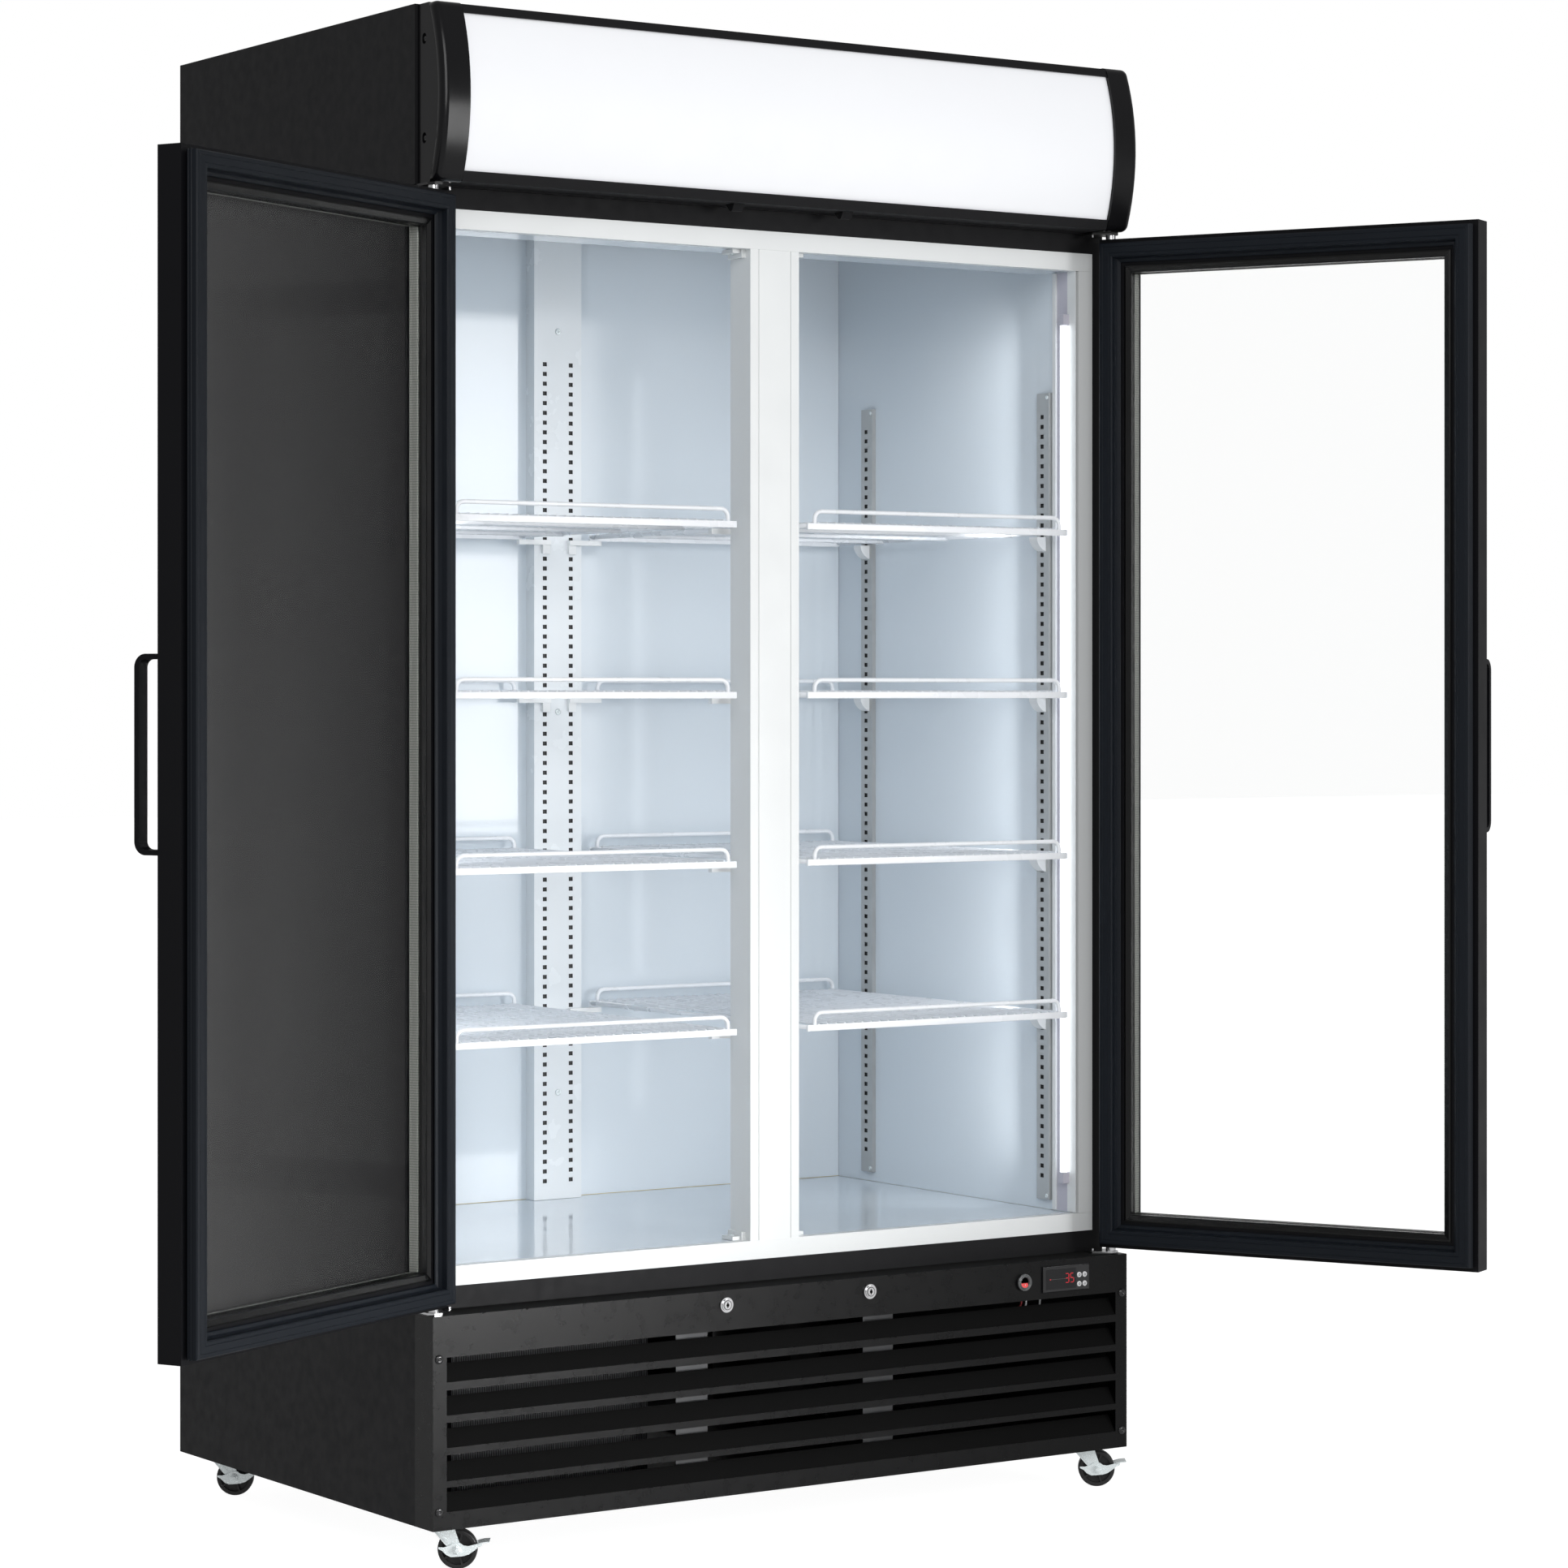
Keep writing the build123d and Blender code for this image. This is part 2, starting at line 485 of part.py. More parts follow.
# ---------------------------------------------------------------- lit canopy
CAP_INNER = 520.0
CAP_WALL = 3.0
CAP_NOSE = 20.0  # depth of the proud rounded edge
CAP_STEP = 4.0  # strip behind the nose, below its side face
CAP_CORNER_R = 12.0
CAP_RIM_R = 9.0
BOW_LOW = (-359.0, CANOPY_LOW)
BOW_MIDDLE = (-380.0, 1875.0)
BOW_HIGH = (-357.0, CANOPY_HIGH)
SIGN_LOW = 1775.4
SIGN_HIGH = 1975.6
SIGN_INSET = 5.0
SIGN_THICK = 2.5
SCREW_Y = -325.0
CAP_SCREW_Z = (1944.0, 1818.0)


def bow_circle():
    """Centre and radius of the circle through the canopy's three profile points."""
    arc = ThreePointArc(BOW_LOW, BOW_MIDDLE, BOW_HIGH)
    return arc.arc_center.X, arc.arc_center.Y, arc.radius


BOW_Y, BOW_Z, BOW_R = bow_circle()


def bow_point(inset, height):
    """Point of the canopy's bowed front, set back by inset, at a height."""
    radius = BOW_R - inset
    return BOW_Y - sqrt(radius**2 - (height - BOW_Z) ** 2), height


with BuildPart() as canopy_caps:
    for hand in (-1, 1):
        nose_low = bow_point(CAP_NOSE, CANOPY_LOW)
        nose_high = bow_point(CAP_NOSE, CANOPY_HIGH)
        with BuildSketch(Plane.YZ.offset(hand * CAP_INNER)):
            with BuildLine():
                ThreePointArc(BOW_LOW, BOW_MIDDLE, BOW_HIGH)
                Line(BOW_HIGH, nose_high)
                ThreePointArc(nose_high, bow_point(CAP_NOSE, BOW_MIDDLE[1]), nose_low)
                Line(nose_low, BOW_LOW)
            make_face()
        extrude(amount=hand * (HALF - CAP_INNER))
    across = canopy_caps.edges().filter_by(Axis.X)
    fillet(across.filter_by(lambda edge: edge.center().Y < BOW_HIGH[0] + 2), CAP_CORNER_R)
    rims = canopy_caps.edges().filter_by(lambda edge: abs(edge.center().X) > HALF - 0.01)
    fillet(rims.filter_by(lambda rim: rim.center().Y < BOW_HIGH[0] + 1), CAP_RIM_R)
    for hand in (-1, 1):
        with BuildSketch(Plane.YZ.offset(hand * CAP_INNER)):
            with BuildLine():
                strip_low = bow_point(CAP_NOSE - 1, CANOPY_LOW)
                strip_high = bow_point(CAP_NOSE - 1, CANOPY_HIGH)
                ThreePointArc(strip_low, bow_point(CAP_NOSE - 1, BOW_MIDDLE[1]), strip_high)
                Polyline(strip_high, (SIDE_FRONT, CANOPY_HIGH), (SIDE_FRONT, CANOPY_LOW), strip_low)
            make_face()
        extrude(amount=hand * (HALF - CAP_STEP - CAP_INNER))
        with BuildSketch(Plane.YZ.offset(hand * CAP_INNER)):
            with BuildLine():
                low = bow_point(CAP_WALL + 1, CANOPY_LOW + CAP_CORNER_R)
                middle = bow_point(CAP_WALL + 1, BOW_MIDDLE[1])
                high = bow_point(CAP_WALL + 1, CANOPY_HIGH - CAP_CORNER_R)
                ThreePointArc(low, middle, high)
                Polyline(high, (SIDE_FRONT - CAP_WALL, high[1]), (SIDE_FRONT - CAP_WALL, low[1]), low)
            make_face()
        extrude(amount=hand * (HALF - CAP_INNER - CAP_RIM_R - CAP_WALL), mode=Mode.SUBTRACT)
        with BuildSketch(Plane.YZ.offset(hand * (HALF - CAP_STEP - CAP_WALL))):
            with Locations(*[(SCREW_Y, height) for height in CAP_SCREW_Z]):
                SlotOverall(14, 10, rotation=90)
        extrude(amount=hand * (CAP_STEP + CAP_WALL), mode=Mode.SUBTRACT)
canopy_caps.part.label = "canopy_caps"
export_step(canopy_caps.part, "parts/canopy_caps.step")

with BuildPart() as sign_panel:
    with BuildSketch(Plane.YZ.offset(-CAP_INNER)):
        with BuildLine():
            outer_low = bow_point(SIGN_INSET, SIGN_LOW)
            outer_high = bow_point(SIGN_INSET, SIGN_HIGH)
            inner_low = bow_point(SIGN_INSET + SIGN_THICK, SIGN_LOW)
            inner_high = bow_point(SIGN_INSET + SIGN_THICK, SIGN_HIGH)
            ThreePointArc(outer_low, bow_point(SIGN_INSET, BOW_MIDDLE[1]), outer_high)
            Line(outer_high, inner_high)
            ThreePointArc(inner_high, bow_point(SIGN_INSET + SIGN_THICK, BOW_MIDDLE[1]), inner_low)
            Line(inner_low, outer_low)
        make_face()
    extrude(amount=2 * CAP_INNER)
sign_panel.part.label = "sign_panel"
export_step(sign_panel.part, "parts/sign_panel.step")

HOOK_X = 88.0
HOOK_Y = -334.0
HOOK_WIDE = 17.0
HOOK_TIP = 1752.6
with BuildPart() as canopy_housing:
    block(-HALF + SHEET, HALF - SHEET, SIDE_FRONT, SIDE_FRONT + SHEET, CANOPY_LOW, CANOPY_HIGH)
    block(-HALF + SHEET, HALF - SHEET, SIDE_FRONT + SHEET, FRAME_BACK, CANOPY_LOW, CANOPY_LOW + SHEET)
    for rail_low, rail_high in ((CANOPY_LOW + 1, SIGN_LOW), (SIGN_HIGH, CANOPY_HIGH - 2)):
        nose_low = bow_point(1.5, rail_low)
        nose_high = bow_point(1.5, rail_high)
        with BuildSketch(Plane.YZ.offset(-CAP_INNER)):
            with BuildLine():
                ThreePointArc(nose_low, bow_point(1.5, (rail_low + rail_high) / 2), nose_high)
                Polyline(nose_high, (SIDE_FRONT, rail_high), (SIDE_FRONT, rail_low), nose_low)
            make_face()
        extrude(amount=2 * CAP_INNER)
    for hand in (-1, 1):
        with BuildSketch(Plane.YZ.offset(hand * HOOK_X - HOOK_WIDE / 2)):
            with BuildLine():
                Polyline(
                    (HOOK_Y - 10, CANOPY_LOW + 1),
                    (HOOK_Y + 10, CANOPY_LOW + 1),
                    (HOOK_Y, HOOK_TIP),
                    (HOOK_Y - 5, HOOK_TIP),
                    close=True,
                )
            make_face()
        extrude(amount=HOOK_WIDE)
canopy_housing.part.label = "canopy_housing"
export_step(canopy_housing.part, "parts/canopy_housing.step")

# ---------------------------------------------------------------- lower panel and controls
LOUVRE_X = 540.0
LOUVRES = ((243.0, 274.5), (201.0, 233.0), (160.0, 192.0), (118.0, 151.0), (79.0, 110.0))
BLADE_RISE = 23.0
BLADE_DEEP = 17.0
LOCK_X = 116.0
LOCK_Z = 308.0
LOCK_R = 10.0
SWITCH_X = 377.0
SWITCH_Z = 300.6
SWITCH_R = 12.0
CONTROL_X0 = 409.6
CONTROL_X1 = 490.6
CONTROL_LOW = 283.0
CONTROL_HIGH = 319.0
CUTOUT_EDGE = 5.0
with BuildPart() as lower_panel:
    block(-HALF, HALF, FRONT, FRONT + SHEET, SKIRT_Z, LOWER_TOP)
    for low, high in LOUVRES:
        block(-LOUVRE_X, LOUVRE_X, FRONT - 1, FRONT + 2 * SHEET, low, high, mode=Mode.SUBTRACT)
    for hand in (-1, 1):
        block(hand * (HALF - SHEET), hand * HALF, FRONT, SIDE_FRONT, SKIRT_Z, LOWER_TOP)
    block(-HALF, HALF, FRONT, SIDE_FRONT, LOWER_TOP - SHEET, LOWER_TOP)
    block(-HALF + SHEET, HALF - SHEET, SIDE_FRONT, FRAME_BACK, LOWER_TOP - SHEET, LOWER_TOP)
    block(-HALF + SHEET, HALF - SHEET, FRONT, FRONT + 8, SKIRT_Z, SKIRT_Z + SHEET)
    with BuildSketch(Plane.XZ.offset(-FRONT)):
        with Locations((-LOCK_X, LOCK_Z), (LOCK_X, LOCK_Z)):
            Circle(LOCK_R - 2)
        with Locations((SWITCH_X, SWITCH_Z)):
            Circle(SWITCH_R - 2)
        with Locations(((CONTROL_X0 + CONTROL_X1) / 2, (CONTROL_LOW + CONTROL_HIGH) / 2)):
            Rectangle(CONTROL_X1 - CONTROL_X0 - 2 * CUTOUT_EDGE, CONTROL_HIGH - CONTROL_LOW - CUTOUT_EDGE)
    extrude(amount=-2 * SHEET, mode=Mode.SUBTRACT)
    for low, high in LOUVRES:
        with BuildSketch(Plane.YZ.offset(-LOUVRE_X)):
            with BuildLine():
                Polyline(
                    (FRONT + SHEET, low - 2),
                    (FRONT + SHEET + BLADE_DEEP, low - 2 + BLADE_RISE),
                    (FRONT + SHEET + BLADE_DEEP - 1.2, low - 1 + BLADE_RISE),
                    (FRONT + SHEET, low - 0.4),
                    close=True,
                )
            make_face()
        extrude(amount=2 * LOUVRE_X)
lower_panel.part.label = "lower_panel"
export_step(lower_panel.part, "parts/lower_panel.step")

PLUG_R = 5.4
PLUG_BORE_R = 5.45
BARREL_R = LOCK_R - 2.1
BARREL_LONG = 24.0
ROSETTE_PROUD = 2.5
with BuildPart() as lock_barrels:
    rings = (
        (LOCK_R, FRONT - ROSETTE_PROUD, FRONT),
        (BARREL_R - 0.1, FRONT - ROSETTE_PROUD - 1.5, FRONT - ROSETTE_PROUD),
        (BARREL_R, FRONT, FRONT + BARREL_LONG),
    )
    for hand in (-1, 1):
        for radius, y0, y1 in rings:
            with BuildSketch(Plane.XZ.offset(-y0)):
                with Locations((hand * LOCK_X, LOCK_Z)):
                    Circle(radius)
                    Circle(PLUG_BORE_R, mode=Mode.SUBTRACT)
            extrude(amount=y0 - y1)
        with BuildSketch(Plane.XZ.offset(-FRONT - BARREL_LONG + 1.5)):
            with Locations((hand * LOCK_X, LOCK_Z)):
                Circle(BARREL_R)
        extrude(amount=-1.5)
lock_barrels.part.label = "lock_barrels"
export_step(lock_barrels.part, "parts/lock_barrels.step")

for side, hand in (("left", -1), ("right", 1)):
    with BuildPart() as lock_plug:
        with BuildSketch(Plane.XZ.offset(-FRONT + 4.5)):
            with Locations((hand * LOCK_X, LOCK_Z)):
                Circle(PLUG_R)
        extrude(amount=-24)
        with BuildSketch(Plane.XZ.offset(-FRONT + 4.5)):
            with Locations((hand * LOCK_X, LOCK_Z)):
                Rectangle(1.6, 7)
                Circle(2.2)
        extrude(amount=-3, mode=Mode.SUBTRACT)
    lock_plug.part.label = f"lock_plug_{side}"
    export_step(lock_plug.part, f"parts/lock_plug_{side}.step")

ROCKER_X = 5.6
ROCKER_Z = 8.0
ROCKER_AXIS_Y = FRONT + 2.0
TRUNNION_R = 1.2
TRUNNION_LONG = 1.8
with BuildPart() as switch_bezel:
    with BuildSketch(Plane.XZ.offset(-FRONT + 3)):
        with Locations((SWITCH_X, SWITCH_Z)):
            Circle(SWITCH_R)
    extrude(amount=-3)
    with BuildSketch(Plane.XZ.offset(-FRONT)):
        with Locations((SWITCH_X, SWITCH_Z)):
            Circle(SWITCH_R - 2.1)
    extrude(amount=-24)
    block(SWITCH_X - ROCKER_X - 0.5, SWITCH_X + ROCKER_X + 0.5, FRONT - 4, FRONT + 14,
          SWITCH_Z - ROCKER_Z - 1, SWITCH_Z + ROCKER_Z + 1, mode=Mode.SUBTRACT)
    with Locations(Location((SWITCH_X, ROCKER_AXIS_Y, SWITCH_Z), (0, 90, 0))):
        Cylinder(TRUNNION_R + 0.05, 2 * (ROCKER_X + TRUNNION_LONG) + 0.4, mode=Mode.SUBTRACT)
switch_bezel.part.label = "switch_bezel"
export_step(switch_bezel.part, "parts/switch_bezel.step")

with BuildPart() as switch_rocker:
    with BuildSketch(Plane.YZ.offset(SWITCH_X - ROCKER_X)):
        with BuildLine():
            Polyline(
                (ROCKER_AXIS_Y - 7.0, SWITCH_Z - ROCKER_Z + 1.0),
                (ROCKER_AXIS_Y - 4.6, SWITCH_Z),
                (ROCKER_AXIS_Y - 4.6, SWITCH_Z + ROCKER_Z - 1.6),
                (ROCKER_AXIS_Y + 4.0, SWITCH_Z + ROCKER_Z - 4.0),
                (ROCKER_AXIS_Y + 4.0, SWITCH_Z - ROCKER_Z + 4.0),
                close=True,
            )
        make_face()
    extrude(amount=2 * ROCKER_X)
    with Locations(Location((SWITCH_X, ROCKER_AXIS_Y, SWITCH_Z), (0, 90, 0))):
        Cylinder(TRUNNION_R, 2 * (ROCKER_X + TRUNNION_LONG))
switch_rocker.part.label = "switch_rocker"
export_step(switch_rocker.part, "parts/switch_rocker.step")

BUTTON_X = (472.0, 481.5)
BUTTON_Z = (304.6, 292.0)
BUTTON_R = 3.9
CONTROL_PROUD = 4.0
with BuildPart() as controller:
    block(CONTROL_X0, CONTROL_X1, FRONT - CONTROL_PROUD, FRONT, CONTROL_LOW, CONTROL_HIGH)
    chamfer(controller.faces().sort_by(Axis.Y)[0].edges(), 1.2)
    block(CONTROL_X0 + 6, CONTROL_X1 - 6, FRONT, FRONT + 56, CONTROL_LOW + 5, CONTROL_HIGH - 5)
    with BuildSketch(Plane.XZ.offset(-FRONT + CONTROL_PROUD)):
        with Locations(*[(x, z) for x in BUTTON_X for z in BUTTON_Z]):
            Circle(BUTTON_R + 0.3)
    extrude(amount=-3.5, mode=Mode.SUBTRACT)
controller.part.label = "controller"
export_step(controller.part, "parts/controller.step")

buttons = [(x, z) for z in BUTTON_Z for x in BUTTON_X]
for number, place in enumerate(buttons, start=1):
    with BuildPart() as button:
        with BuildSketch(Plane.XZ.offset(-FRONT + CONTROL_PROUD - 2)):
            with Locations(place):
                Circle(BUTTON_R)
        extrude(amount=3)
        fillet(button.faces().sort_by(Axis.Y)[0].edges(), 0.7)
    button.part.label = f"controller_button_{number}"
    export_step(button.part, f"parts/controller_button_{number}.step")

# ---------------------------------------------------------------- hinges
PLATE = 3.0
PLATE_INNER_X = 519.0
PLATE_OUTER_X = 558.0
PLATE_LIP = 2.5
SPACER_R = 7.0
SPACER_GAP = 0.3
PIN_LONG = 10.0  # in the door's bore
with BuildPart() as hinge_brackets:
    plate_back = SIDE_FRONT - 1
    plate_front = PIVOT_Y - 11
    for hand in (-1, 1):
        for plate_z, up, door_edge in ((LOWER_TOP, 1, DOOR_LOW), (CANOPY_LOW, -1, DOOR_HIGH)):
            plate_end = plate_z + up * PLATE
            with BuildSketch(Plane.XY.offset(min(plate_z, plate_end))):
                with BuildLine():
                    Polyline(
                        (hand * PLATE_INNER_X, plate_back),
                        (hand * PLATE_OUTER_X, plate_back),
                        (hand * PLATE_OUTER_X, PIVOT_Y - 3),
                        (hand * (PLATE_OUTER_X - 6), plate_front),
                        (hand * (PIVOT_X - SPACER_R), plate_front),
                        (hand * PLATE_INNER_X, PIVOT_Y + 6),
                        close=True,
                    )
                make_face()
            extrude(amount=PLATE)
            with Locations((hand * PIVOT_X, PIVOT_Y, (plate_end + door_edge) / 2 - up * SPACER_GAP)):
                Cylinder(SPACER_R, abs(door_edge - plate_end) - 2 * SPACER_GAP)
            pin_end = door_edge + up * PIN_LONG
            with Locations((hand * PIVOT_X, PIVOT_Y, (plate_end + pin_end) / 2)):
                Cylinder(PIN_R, abs(pin_end - plate_end))
            block(hand * PLATE_INNER_X, hand * (PLATE_INNER_X + PLATE_LIP), PIVOT_Y + 6, plate_back,
                  plate_z, plate_end + up * 4)
hinge_brackets.part.label = "hinge_brackets"
export_step(hinge_brackets.part, "parts/hinge_brackets.step")

# ---------------------------------------------------------------- doors
HANDLE_LOW = 925.5
HANDLE_HIGH = 1160.4
HANDLE_STRAP = 6.5
HANDLE_WIDE = 17.0
HANDLE_OFF = 40.0
HANDLE_EDGE = 8.0
HANDLE_R = 16.0
DOOR_TALL = DOOR_HIGH - DOOR_LOW
DOOR_WIDE = DOOR_REACH + DOOR_HEEL
DOOR_MIDDLE_X = (DOOR_REACH - DOOR_HEEL) / 2
DOOR_MIDDLE_Z = (DOOR_LOW + DOOR_HIGH) / 2
for side, hand, opened in (("left", -1, -LEFT_OPEN), ("right", 1, 180 + RIGHT_OPEN)):
    along = (cos(radians(opened)), sin(radians(opened)), 0)
    hinge_line = Plane(origin=(hand * PIVOT_X, PIVOT_Y, 0), x_dir=along, z_dir=(0, 0, 1))
    # the door's own frame: x from hinge to free edge, y across the leaf
    toward_room = -hand
    face_in = toward_room * PIVOT_TO_INNER
    face_out = face_in - toward_room * DOOR_THICK
    glass_in = face_in - toward_room * GLASS_DEEP
    glass_out = glass_in - toward_room * GLASS_THICK
    open_x0 = -DOOR_HEEL + DOOR_BORDER
    open_x1 = DOOR_REACH - DOOR_BORDER
    open_low = DOOR_LOW + DOOR_BORDER
    open_high = DOOR_HIGH - DOOR_BORDER

    with BuildPart(hinge_line) as door_frame:
        block(-DOOR_HEEL, DOOR_REACH, face_in, face_out, DOOR_LOW, DOOR_HIGH)
        block(open_x0, open_x1, face_in, face_out, open_low, open_high, mode=Mode.SUBTRACT)
        block(open_x0 - GLASS_LAP, open_x1 + GLASS_LAP, glass_in, glass_out,
              open_low - GLASS_LAP, open_high + GLASS_LAP, mode=Mode.SUBTRACT)
        with Locations((0, 0, DOOR_LOW + 6), (0, 0, DOOR_HIGH - 6)):
            Cylinder(BORE_R, 12.5, mode=Mode.SUBTRACT)
    door_frame.part.label = f"door_frame_{side}"
    export_step(door_frame.part, f"parts/door_frame_{side}.step")

    with BuildPart(hinge_line) as door_glass:
        block(open_x0 - GLASS_LAP, open_x1 + GLASS_LAP, glass_in, glass_out,
              open_low - GLASS_LAP, open_high + GLASS_LAP)
    door_glass.part.label = f"door_glass_{side}"
    export_step(door_glass.part, f"parts/door_glass_{side}.step")

    with BuildPart(hinge_line) as door_gasket:
        seal_face = face_in + toward_room * GASKET_THICK
        bellows = (GASKET_INSET, GASKET_WIDE, face_in, face_in + toward_room * GASKET_BASE)
        magnet = (MAGNET_INSET, MAGNET_WIDE, face_in + toward_room * (GASKET_BASE - 1), seal_face)
        window = GASKET_INSET + GASKET_WIDE
        for inset, _, near, far in (bellows, magnet):
            block(-DOOR_HEEL + inset, DOOR_REACH - inset, near, far, DOOR_LOW + inset, DOOR_HIGH - inset)
        block(-DOOR_HEEL + window, DOOR_REACH - window, face_in, seal_face,
              DOOR_LOW + window, DOOR_HIGH - window, mode=Mode.SUBTRACT)
        window = MAGNET_INSET + MAGNET_WIDE
        block(-DOOR_HEEL + window, DOOR_REACH - window, face_in + toward_room * GASKET_BASE, seal_face,
              DOOR_LOW + window, DOOR_HIGH - window, mode=Mode.SUBTRACT)
    door_gasket.part.label = f"door_gasket_{side}"
    export_step(door_gasket.part, f"parts/door_gasket_{side}.step")

    handle_x = DOOR_REACH - HANDLE_EDGE - HANDLE_WIDE
    handle_root = hinge_line.from_local_coords(Vector(handle_x, face_out, (HANDLE_LOW + HANDLE_HIGH) / 2))
    away = hinge_line.y_dir * -toward_room
    with BuildPart() as door_handle:
        with BuildSketch(Plane(origin=handle_root, x_dir=away, z_dir=hinge_line.x_dir)) as handle_side:
            reach = (HANDLE_HIGH - HANDLE_LOW) / 2
            with BuildLine():
                FilletPolyline(
                    (0, -reach), (HANDLE_OFF, -reach), (HANDLE_OFF, reach), (0, reach), radius=HANDLE_R)
                Line((0, reach), (0, reach - HANDLE_STRAP))
                FilletPolyline(
                    (0, reach - HANDLE_STRAP),
                    (HANDLE_OFF - HANDLE_STRAP, reach - HANDLE_STRAP),
                    (HANDLE_OFF - HANDLE_STRAP, HANDLE_STRAP - reach),
                    (0, HANDLE_STRAP - reach),
                    radius=HANDLE_R - HANDLE_STRAP,
                )
                Line((0, HANDLE_STRAP - reach), (0, -reach))
            make_face()
        extrude(amount=HANDLE_WIDE)
    door_handle.part.label = f"door_handle_{side}"
    export_step(door_handle.part, f"parts/door_handle_{side}.step")

# ---------------------------------------------------------------- screws
DOME_R = 6.0
with BuildPart() as fasteners:
    for hand in (-1, 1):
        for height in (273.0, 80.0):
            with Locations(Location((hand * 551, FRONT, height), (90, 0, 0))):
                Cylinder(DOME_R, 2.4, align=(Align.CENTER, Align.CENTER, Align.MIN))
        for height in CAP_SCREW_Z:
            with Locations(Location((hand * (HALF - CAP_STEP - CAP_WALL + 1), SCREW_Y, height), (0, 90, 0))):
                Cylinder(3.6, 2.0)
        for rail_y in PILASTER_Y:
            for height in (PILASTER_LOW + 6, PILASTER_HIGH - 6):
                rail_face = hand * (ROOM_X - PILASTER_DEEP - 0.6)
                with Locations(Location((rail_face, rail_y - 9, height), (0, 90, 0))):
                    Cylinder(3.0, 1.2)
    for height in (1638.0, 1087.0, 535.5):
        with Locations(Location((0, DUCT_FRONT, height), (90, 0, 0))):
            Cylinder(4.6, 2.0, align=(Align.CENTER, Align.CENTER, Align.MIN))
fasteners.part.label = "fasteners"
export_step(fasteners.part, "parts/fasteners.step")

# ---------------------------------------------------------------- casters
FORK_TOP = 58.0
FORK_PLATE = 2.5
LEG = 2.0
LEG_GAP = WHEEL_WIDE / 2 + 1.2
LEVER = 1.5
TOP_PLATE_LOW = BASE_TOP - BASE_SHEET - 2.5
caster_places = (
    ("front_left", -CASTER_X, CASTER_FRONT_Y),
    ("front_right", CASTER_X, CASTER_FRONT_Y),
    ("rear_left", -CASTER_X, CASTER_REAR_Y),
    ("rear_right", CASTER_X, CASTER_REAR_Y),
)

with BuildPart() as caster_plates:
    for name, stem_x, stem_y in caster_places:
        block(stem_x - 24, stem_x + 24, stem_y - 24, stem_y + 24, TOP_PLATE_LOW, BASE_TOP - BASE_SHEET)
        with Locations((stem_x, stem_y, FORK_TOP + 0.3)):
            Cylinder(16, TOP_PLATE_LOW - FORK_TOP - 0.3, align=(Align.CENTER, Align.CENTER, Align.MIN))
        with Locations((stem_x, stem_y, 52.2)):
            Cylinder(7, 3.0, align=(Align.CENTER, Align.CENTER, Align.MIN))
            Cylinder(PIN_R, 8.0, align=(Align.CENTER, Align.CENTER, Align.MIN))
caster_plates.part.label = "caster_plates"
export_step(caster_plates.part, "parts/caster_plates.step")

